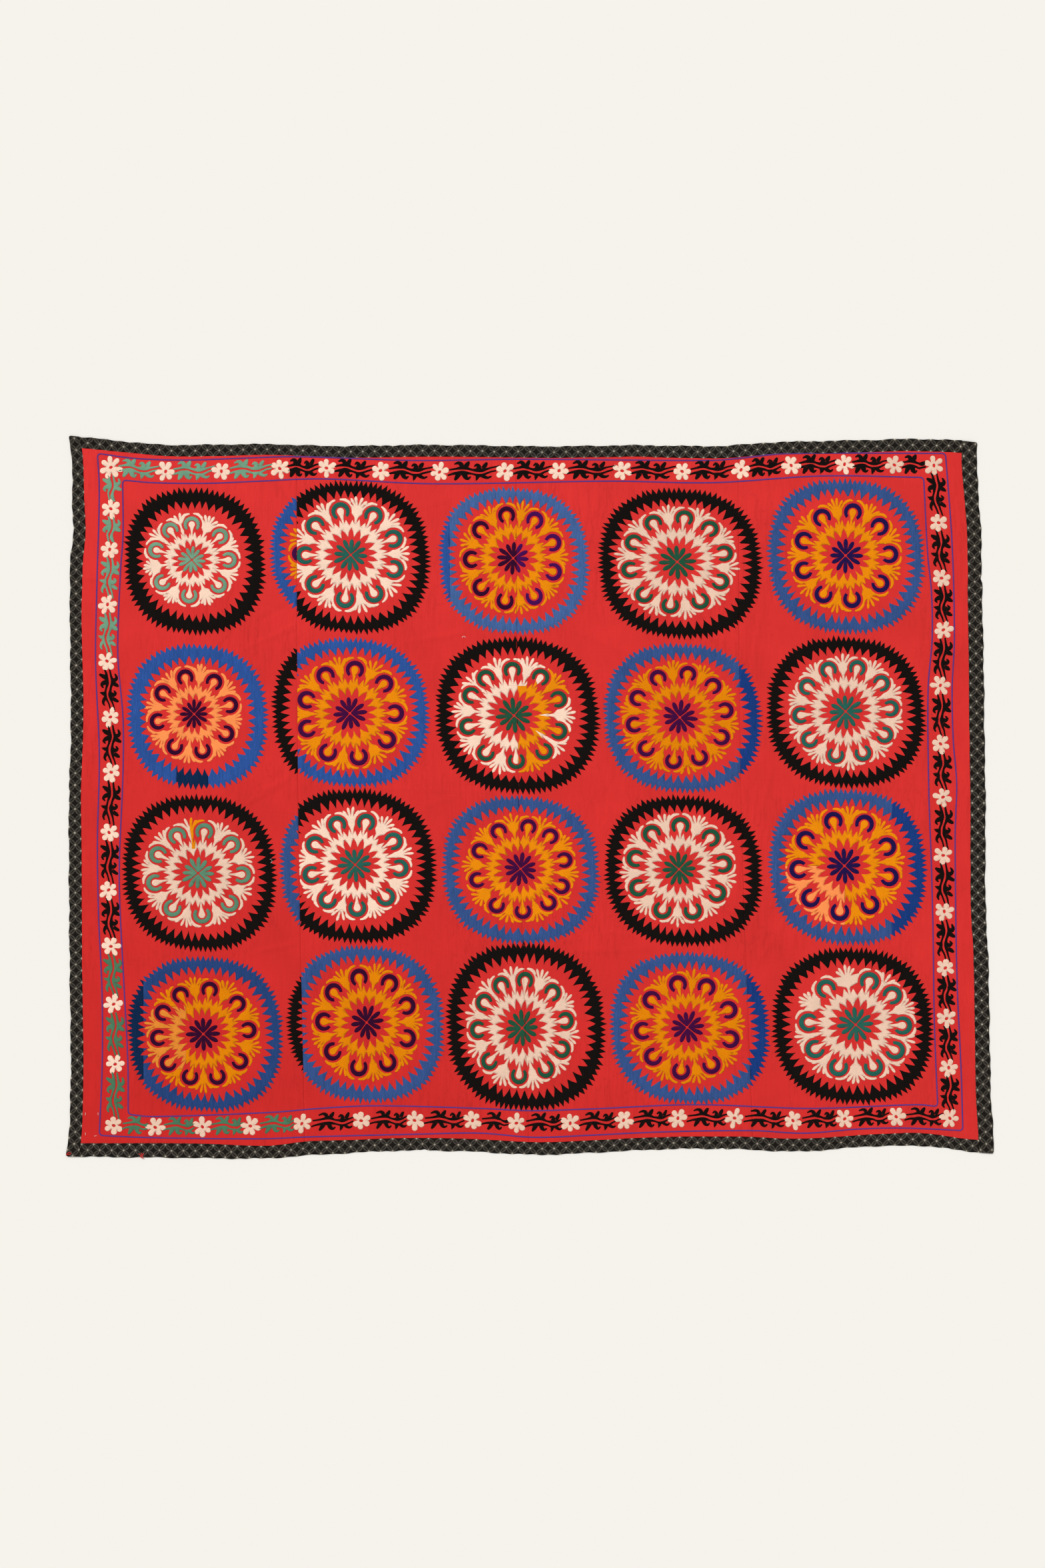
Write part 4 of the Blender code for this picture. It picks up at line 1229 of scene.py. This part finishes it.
def make_leaves(medallion, angles):
    """Shapes and holes of a rosette's leaves: core ring, palmettes and drops."""

    def polar(share, angle):
        return local(medallion, angle)(0.0, share)

    count = len(angles)
    core = SMALL_CORE if count == 8 else CORE
    stout = STOUT[count]
    outer = []
    for k, angle in enumerate(angles):
        pitch = (angles[(k + 1) % count] - angle) % math.tau
        for tooth in range(4):
            middle = angle + pitch * (tooth + 0.5) / 4
            quarter = pitch / 8
            valley = core["valley"] + chance.uniform(-0.005, 0.005)
            tip = core["tip"] + chance.uniform(-0.018, 0.015)
            outer.append((valley, middle - quarter))
            outer.append((valley + (tip - valley) * 0.55, middle - quarter * 0.42))
            outer.append((tip, middle))
            outer.append((valley + (tip - valley) * 0.55, middle + quarter * 0.42))
    ring = [polar(share, angle) for share, angle in outer]
    star = toothed_loop(polar, 2 * count, core["star_tip"], core["star_foot"], *STAR_TEETH)
    shapes = [ring]
    cell = CELL_SHARE * POD_RADIUS * math.sin(math.pi / count)
    for k, angle in enumerate(angles):
        shapes.append(drop(local(medallion, angle), POD_SIZES[count]))
        gap = ((angles[(k + 1) % count] - angle) % math.tau) / 2
        place = local(medallion, angle + gap)
        shapes.append(palmette(place, gap, cell, stout))
        fingers = 3 + sum(gap > math.radians(degrees) for degrees in FINGER_GAPS)
        fingers -= fingers > 3 and chance.random() < 0.25
        for j in range(fingers):
            spread = j - (fingers - 1) / 2
            fan = math.radians(spread * FINGER_FANS[fingers] + chance.uniform(-4, 4))
            length = (FINGER_LENGTH - FINGER_FALL * spread**2) * chance.uniform(0.92, 1.08)
            width = FINGER_WIDTH * stout * chance.uniform(0.92, 1.08)
            base = (FINGER_SPREAD * spread * stout, FINGER_FOOT)
            shapes.append(finger(place, base, fan, length * stout**0.5, width))
    return shapes, [star]


def make_centre(medallion):
    """Twelve lobes in four groups, with a thin cross between them and a dot in the middle."""
    place = local(medallion, 0.0)
    start = math.radians(chance.uniform(-8, 8))
    shapes = [circle(place, 0.0, 0.0, CENTRE_RADIUS, 14)]
    for group in range(4):
        for lobe in (-1, 0, 1):
            turn = start + group * math.pi / 2 + lobe * math.radians(LOBE_TURN)
            length = chance.uniform(*LOBE_LENGTHS)
            shapes.append(finger(place, (0.0, 0.0), turn, length, LOBE_WIDTH))
    holes = [circle(place, 0.0, 0.0, CENTRE_HOLE, 8)]
    for k in range(4):
        turn = start + math.pi / 4 + k * math.pi / 2
        c, s = math.cos(turn), math.sin(turn)
        holes.append([place(a * s + b * c, a * c - b * s) for a, b in CROSS_BAR])
    return shapes, holes


def strip_clip(number, low_y, high_y):
    """The part of a panel between two heights, as a clip for needlework."""
    heights = np.linspace(low_y, high_y, SEAM_PLACES)
    left = [(float(panel_side(number, -1, y)) + SEAM_CLEAR, float(y)) for y in heights]
    right = [(float(panel_side(number, 1, y)) - SEAM_CLEAR, float(y)) for y in heights]
    return right + left[::-1]


def box(low_x, low_y, high_x, high_y):
    """A rectangle in metres from corners in millimetres."""
    corners = ((low_x, low_y), (high_x, low_y), (high_x, high_y), (low_x, high_y))
    return [(x * MM, y * MM) for x, y in corners]


def area(*corners):
    """An outline from its corners in millimetres."""
    return [(x * MM, y * MM) for x, y in corners]


# Parts in another colour: medallion and part, then each new colour and the area that it fills
PATCHES = {
    ("13", "ring"): (("bright_blue", box(-260, 420, -217, 860)),),
    ("21", "ring"): (("navy", box(-955, 18, -870, 92)),),
    ("41", "ring"): (("navy", box(-1100, -900, -1045, -380)),),
    ("35", "ring"): (("deep_blue", box(978, -420, 1100, 60)),),
    ("35", "leaves"): (("peach", box(660, -380, 850, -186)),),
    ("41", "leaves"): (("honey", box(-1060, -735, -930, -566)),),
    ("31", "leaves"): (
        ("orange", area((-922, -40), (-878, -40), (-878, -72), (-895, -85), (-903, -110), (-905, -140),
                        (-914, -140), (-914, -118), (-919, -87))),
    ),
    ("23", "leaves"): (
        ("ivory", area((-60, 395), (50, 395), (50, 352), (47, 305), (24, 292), (10, 330),
                       (-12, 300), (-60, 300))),
        ("ivory", area((24, 221), (62, 228), (72, 243), (97, 262), (106, 284), (135, 292), (135, 166),
                       (106, 176), (97, 192), (72, 200), (62, 215))),
        ("ivory", area((14, 180), (46, 165), (60, 158), (84, 156), (108, 174), (135, 158), (112, 112),
                       (74, 96), (60, 104), (62, 122), (54, 142), (38, 154))),
    ),
}
# Parts that change colour at a seam: medallion, part and panel
SEAM_CHANGES = {
    ("13", "pods", 3): "grape",
    ("24", "ring", 4): "deep_blue",
    ("44", "ring", 4): "deep_blue",
    ("23", "leaves", 3): "orange",
}


def work_part(medallion, part, colour, materials, shapes, holes, **settings):
    """Needlework of one part of a medallion on each panel that carries it."""
    made = []
    name = medallion["name"]
    reach = medallion["half_y"] * MM * 1.1
    middle = medallion["y"] * MM
    cut = medallion["first"] != medallion["last"] or name in CUT_AT_SEAM
    for number in range(medallion["first"], medallion["last"] + 1):
        clips = [strip_clip(number, middle - reach, middle + reach)] if cut else []
        patches = PATCHES.get((name, part), ())
        shown = SEAM_CHANGES.get((name, part, number), colour)
        places = [place for _, place in patches]
        flush = [*clips, *places]
        title = f"{part}_{name}"
        if medallion["first"] != medallion["last"]:
            title += f"_{number}"
        works = [(title, shown, [*holes, *places], clips)]
        for k, (patch_colour, place) in enumerate(patches):
            works.append((f"{title}_patch_{k + 1}", patch_colour, holes, [*clips, place]))
        for work_name, thread, gaps, within in works:
            piece = needlework(work_name, thread, materials, shapes, gaps, within, flush, **settings)
            made.append((number, piece))
    return [(number, piece) for number, piece in made if piece]


def make_ring(medallion, materials):
    """A band with short teeth outside and long red flames inside."""
    form = SMALL_RING if medallion["name"] in ("11", "21") else RING
    sizes = [medallion[key] * MM for key in ("x", "y", "half_x", "half_y")]

    def outside(share, angle):
        return ring_point(*sizes, RING_SQUARENESS, share, angle)

    def inside_edge(share, angle):
        return ring_point(*sizes, FLAME_SQUARENESS, share, angle)

    outer = toothed_loop(outside, form["teeth"], form["point"], form["valley"], *RING_TEETH)
    inner = flame_loop(inside_edge, form["flames"], form["tip"], form["foot"], FLAME_UNEVEN)
    return work_part(medallion, "ring", medallion["ring"], materials, [outer], [inner], drawn=False)


def make_medallion(medallion, materials):
    """The ring, leaves, pods and centre of one medallion."""
    made = make_ring(medallion, materials)
    angles = pod_angles(medallion)
    shapes, holes = make_leaves(medallion, angles)
    made += work_part(medallion, "leaves", medallion["leaves"], materials, shapes, holes, **FINE)
    size = POD_SIZES[len(angles)]
    shapes = [horseshoe(local(medallion, angle), size) for angle in angles]
    middle_shapes, middle_holes = make_centre(medallion)
    made += work_part(
        medallion, "pods", medallion["pod"], materials, shapes + middle_shapes, middle_holes,
        **POD_FORM,
    )
    return made


def flower_spots():
    """Each flower's middle by side, in order along the side, halfway between the lines."""
    spots = {}
    for side, places in FLOWERS.items():
        row = []
        for place in places:
            across = float(LINE["outer"][side](place * MM) + LINE["inner"][side](place * MM)) / 2
            row.append(on_side(side, place * MM, across))
        spots[side] = row
    return spots


def make_flower(name, centre, petals, colour, materials):
    """Pale petals round a red dot."""

    def place(x, y):
        return centre[0] + x * MM, centre[1] + y * MM

    start = chance.uniform(0, math.tau)
    size = CORNER_FLOWER if petals == 7 else 1.0
    shapes = []
    for k in range(petals):
        turn = start + math.tau * (k + chance.uniform(-0.12, 0.12)) / petals
        length = size * chance.uniform(*PETAL_LENGTHS)
        shapes.append(finger(place, (0.0, 0.0), turn, length, chance.uniform(*PETAL_WIDTHS)))
    shapes.append(circle(place, 0, 0, FLOWER_MIDDLE, 12))
    turn = chance.uniform(0, math.pi)
    shift = (chance.uniform(-1, 1), chance.uniform(-1, 1))
    c, s = math.cos(turn), math.sin(turn)
    dot = []
    for k in range(DOT_SIDES):
        way = math.tau * k / DOT_SIDES
        a, b = DOT_HALF[0] * math.cos(way), DOT_HALF[1] * math.sin(way)
        dot.append(place(shift[0] + a * c - b * s, shift[1] + a * s + b * c))
    return needlework(name, colour, materials, shapes, [dot], **FINE)


def halfway_curve(a, b, c, d, t):
    """The value at t from b to c on a smooth curve through four even places."""
    square, cube = 2 * a - 5 * b + 4 * c - d, 3 * b - a - 3 * c + d
    return 0.5 * (2 * b + (c - a) * t + square * t**2 + cube * t**3)


def stroke(place, row, pointed):
    """The outline of a stroke: rows of along, across and width, smoothed between them."""
    rows = []
    last = len(row) - 1
    for k in range(last):
        four = (row[max(k - 1, 0)], row[k], row[k + 1], row[min(k + 2, last)])
        for t in (0.0, 0.5):
            rows.append([halfway_curve(*values, t) for values in zip(*four)])
    rows.append(list(row[-1]))
    left, right = [], []
    for k, (x, y, width) in enumerate(rows):
        back, front = rows[max(k - 1, 0)], rows[min(k + 1, len(rows) - 1)]
        dx, dy = front[0] - back[0], front[1] - back[1]
        size = math.hypot(dx, dy)
        nx, ny = -dy / size * width / 2, dx / size * width / 2
        left.append((x + nx, y + ny))
        right.append((x - nx, y - ny))
    end, before = rows[-1], rows[-2]
    size = math.hypot(end[0] - before[0], end[1] - before[1])
    ahead = ((end[0] - before[0]) / size, (end[1] - before[1]) / size)
    cap = [(0.9, 0.0)] if pointed else [(0.34, 0.36), (0.5, 0.0), (0.34, -0.36)]
    tips = [
        (
            end[0] + end[2] * (ahead[0] * out - ahead[1] * aside),
            end[1] + end[2] * (ahead[1] * out + ahead[0] * aside),
        )
        for out, aside in cap
    ]
    return [place(*p) for p in [*left, *tips, *right[::-1]]]


def vine_shapes(start, end, outward, later, fullness):
    """Both stems of the vine between two flowers, with their hooks and leaves."""
    run = (end[0] - start[0], end[1] - start[1])
    length = math.hypot(*run)
    short = length < SHORT_GAP

    def place(along, across):
        """The point some millimetres along the way and outward from it."""
        share = along * MM / length
        across *= MM
        return (
            start[0] + run[0] * share + outward[0] * across,
            start[1] + run[1] * share + outward[1] * across,
        )

    shapes = []
    for stem, sprigs in ((UPPER_STEM, UPPER_SPRIGS), (LOWER_STEM, LOWER_SPRIGS)):
        for row, pointed in [(stem, False), *sprigs]:
            if short and row is not stem and row[0][0] > 0.5:
                continue
            if short:
                tip = [(SHORT_END[0], row[-2][1], SHORT_END[1])] if row is stem else []
                row = [(s * SHORT_STRETCH, b, w) for s, b, w in row[:7]] + tip
            rows = [
                (
                    (s + later * math.sin(math.pi * s)) * length / MM,
                    b + chance.uniform(-STEM_WAVER, STEM_WAVER),
                    max(STEM_LEAST, w * fullness * chance.uniform(*STEM_SWELL)),
                )
                for s, b, w in row
            ]
            shapes.append(stroke(place, rows, pointed))
    return shapes


def sprig_colour(side, middle):
    """The vine is green on the first panel and at the ends of the left side."""
    x, y = middle[0] / MM, middle[1] / MM
    green = "light_green" if y > 0 else "fern"
    if side == "left":
        return green if y > 370 or y < -420 else "black"
    return green if x < -620 else "black"


def make_border(materials):
    """Flowers, the vines between them and the two lines."""
    spots = flower_spots()
    for side, row in spots.items():
        for k, centre in enumerate(row):
            corner = side in LEVEL and k in (0, len(row) - 1)
            petals = 7 if corner and side == "top" and k == 0 else 6
            dull = side in ("right", "bottom") or centre[0] > DULL_FROM
            colour = "cream" if dull else "ivory"
            make_flower(f"flower_{side}_{k + 1}", centre, petals, colour, materials)
    corners = {
        "left": (spots["top"][0], spots["bottom"][0]),
        "right": (spots["top"][-1], spots["bottom"][-1]),
    }
    outward = {"top": (0, 1), "bottom": (0, 1), "left": (1, 0), "right": (1, 0)}
    for side, row in spots.items():
        if side in corners:
            row = [corners[side][0], *row, corners[side][1]]
        vines = {}
        for start, end in zip(row, row[1:]):
            middle = ((start[0] + end[0]) / 2, (start[1] + end[1]) / 2)
            colour = sprig_colour(side, middle)
            shapes = vine_shapes(start, end, outward[side], LATER.get(side, 0.0), VINE_FULLNESS[side])
            vines.setdefault(colour, []).extend(shapes)
        holes = [circle(lambda x, y: (x, y), *centre, FLOWER_CLEAR * MM, 12) for centre in row]
        for colour, shapes in vines.items():
            needlework(f"vine_{side}_{colour}", colour, materials, shapes, holes, **FINE)
    for line in LINE:
        make_line(line, materials)


def line_path(line):
    """Points round a border line, its corners rounded."""
    curves = LINE[line]
    ends = {side: (rows[0][0] * MM, rows[-1][0] * MM) for side, rows in LINES[line].items()}
    path = []
    for side, direction in (("top", 1), ("right", -1), ("bottom", -1), ("left", 1)):
        low, high = ends[side]
        places = np.linspace(low + CORNER, high - CORNER, LINE_POINTS)[::direction]
        for place in places:
            path.append(on_side(side, place, float(curves[side](place))))
    return path


def even_path(path, step):
    """Points at even steps along a closed path, the corners cut and smoothed."""
    points = np.array(path + path[:1])
    lengths = np.hypot(*np.diff(points, axis=0).T)
    places = np.concatenate([[0], np.cumsum(lengths)])
    count = round(places[-1] / step)
    at = np.linspace(0, places[-1], count, endpoint=False)
    even = np.stack([np.interp(at, places, points[:, k]) for k in (0, 1)], -1)
    for _ in range(LINE_SMOOTHINGS):
        even = (np.roll(even, 1, 0) + 2 * even + np.roll(even, -1, 0)) / 4
    return even


def make_line(line, materials):
    """A chain-stitched line, a little wider at the middle of each stitch."""
    path = even_path(line_path(line), STITCH / LINE_SECTIONS)
    ahead = np.roll(path, -1, 0) - np.roll(path, 1, 0)
    side = np.stack([-ahead[:, 1], ahead[:, 0]], -1) / np.hypot(*ahead.T)[:, None]
    count = len(path)
    phase = np.arange(count) % LINE_SECTIONS / LINE_SECTIONS
    wobble = np.array([chance.uniform(*STITCH_WOBBLE) for _ in range(count)])
    width = LINE_WIDTH * (1 + STITCH_SWELL * np.cos(math.tau * phase)) * wobble
    height = LINE_RISE * (1 + STITCH_LIFT * np.cos(math.tau * phase))
    points = []
    for share, lift in LINE_PROFILE:
        row = path + side * (width * share)[:, None]
        z = ground(row[:, 0], row[:, 1]) + (height * lift if lift else -LINE_SINK)
        points.append(np.column_stack([row, z]))
    flat = np.stack(points, 1).reshape(-1, 3).tolist()
    faces = []
    for k in range(count):
        j = (k + 1) % count
        for c in range(4):
            d = (c + 1) % 4
            faces.append((4 * k + c, 4 * k + d, 4 * j + d, 4 * j + c)[::-1])
    piece = add_piece(f"line_{line}", flat, faces, materials["violet"], "violet_thread")
    mark_edge(piece, [0.3, 1.0, 1.0, 0.3] * count)
    return piece


def curve_through(spots):
    """Even points on a smooth line through a few spots."""
    given = np.array(spots, float)
    if len(given) == 2:
        return given
    away = np.concatenate([[0], np.cumsum(np.hypot(*np.diff(given, axis=0).T))])
    at = np.linspace(0, away[-1], THREAD_STEPS)
    found = []
    for value in at:
        k = min(max(int(np.searchsorted(away, value)) - 1, 0), len(given) - 2)
        first, last = max(k - 1, 0), min(k + 2, len(given) - 1)
        t = (value - away[k]) / (away[k + 1] - away[k])
        leave = (given[k + 1] - given[first]) / 2
        arrive = (given[last] - given[k]) / 2
        found.append(
            (2 * t**3 - 3 * t**2 + 1) * given[k] + (t**3 - 2 * t**2 + t) * leave
            + (3 * t**2 - 2 * t**3) * given[k + 1] + (t**3 - t**2) * arrive
        )
    return np.array(found)


def make_thread(name, spots, radius, base, material, slot):
    """A round thread that lies along a path, with its ends closed."""
    path = curve_through(spots) * MM
    ahead = np.gradient(path, axis=0)
    ahead /= np.hypot(ahead[:, 0], ahead[:, 1])[:, None]
    height = base(path[:, 0], path[:, 1]) + THREAD_LIFT * radius
    points, faces = [], []
    for (x, y), (dx, dy), z in zip(path.tolist(), ahead.tolist(), height.tolist()):
        for side in range(TUBE_SIDES):
            turn = math.tau * side / TUBE_SIDES
            out, up = radius * math.cos(turn), radius * math.sin(turn)
            points.append((x - dy * out, y + dx * out, z + up))
    for k in range(len(path) - 1):
        for side in range(TUBE_SIDES):
            a = k * TUBE_SIDES + side
            b = k * TUBE_SIDES + (side + 1) % TUBE_SIDES
            faces.append((a, a + TUBE_SIDES, b + TUBE_SIDES, b))
    faces.append(tuple(range(TUBE_SIDES)))
    faces.append(tuple(range(len(points) - 1, len(points) - 1 - TUBE_SIDES, -1)))
    piece = add_piece(name, points, faces, material, slot)
    mark_edge(piece, [1.0] * len(points))
    return piece


def edging(x, y):
    """The height of loose threads on the binding."""
    return np.full(np.shape(x), 0.8 * BINDING_CROWN)


# Material, height and slot of the loose threads
THREAD_KINDS = {
    "red": ("red_cotton", edging, "red_cotton"), "white": ("white", ground, "white_thread"),
}


def make_threads(materials):
    """White tacks and the few loose ends of thread."""
    for k, (x, y, degrees) in enumerate(TACKS):
        turn = math.radians(degrees)
        reach = (TACK_LENGTH / 2 * math.cos(turn), TACK_LENGTH / 2 * math.sin(turn))
        ends = ((x - reach[0], y - reach[1]), (x + reach[0], y + reach[1]))
        radius = THREAD_RADIUS["white"]
        make_thread(f"tack_{k + 1}", ends, radius, ground, materials["white"], "white_thread")
    for k, (colour, spots) in enumerate(LOOSE_THREADS):
        cloth, base, slot = THREAD_KINDS[colour]
        make_thread(f"loose_{k + 1}", spots, THREAD_RADIUS[colour], base, materials[cloth], slot)


def make_stage():
    """A pale floor, soft light from all round and a little more from the upper left."""
    mesh = bpy.data.meshes.new("floor")
    quarters = ((-1, -1), (1, -1), (1, 1), (-1, 1))
    corners = [(x * FLOOR_REACH, y * FLOOR_REACH, -FLOOR_DROP) for x, y in quarters]
    mesh.from_pydata(corners, [], [(0, 1, 2, 3)])
    floor = add_object("floor", mesh)
    paper = Shader("floor", 1.0, 0.0)
    paper.shader.inputs["Base Color"].default_value = linear(FLOOR)
    mesh.materials.append(paper.material)
    world = bpy.data.worlds.new("sky")
    world.use_nodes = True
    sky = world.node_tree.nodes["Background"]
    sky.inputs["Color"].default_value = (1.0, 1.0, 1.0, 1.0)
    sky.inputs["Strength"].default_value = SKY_STRENGTH
    bpy.context.scene.world = world
    light = bpy.data.lights.new("key", "SUN")
    light.energy = SUN_STRENGTH
    light.angle = math.radians(SUN_WIDTH)
    add_object("key", light).rotation_euler = [math.radians(turn) for turn in SUN_TURN]


def make_camera():
    """The camera looks straight down."""
    lens = bpy.data.cameras.new("camera")
    lens.lens = LENS
    lens.sensor_width = SENSOR
    camera = add_object("camera", lens)
    camera.location = CAMERA_PLACE
    bpy.context.scene.camera = camera
    bpy.context.scene.view_settings.view_transform = "Standard"


def main():
    """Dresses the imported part."""
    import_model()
    materials = make_materials()
    panels = {}
    for number in range(1, PANELS + 1):
        panels[number] = (*make_cotton(number, materials), [])
    for row in MEDALLIONS:
        medallion = dict(zip(MEDALLION_COLUMNS, row))
        for number, piece in make_medallion(medallion, materials):
            panels[number][2].append(piece)
    for name, x, y, half_x, half_y, colour in CUT_RINGS:
        medallion = {
            "name": name, "x": x, "y": y, "half_x": half_x, "half_y": half_y,
            "first": 1, "last": 1, "ring": colour, **CUT_ROSETTE,
            "rosette_x": x, "rosette_y": y,
        }
        make = make_medallion if name == "cut_1" else make_ring
        for number, piece in make(medallion, materials):
            panels[number][2].append(piece)
    make_border(materials)
    make_threads(materials)
    for number, (piece, flat, stitched) in panels.items():
        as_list(stitched)
    for side in EDGES:
        piece, flat = make_binding(side, materials)
    make_stage()
    make_camera()
    bpy.context.view_layer.update()


main()
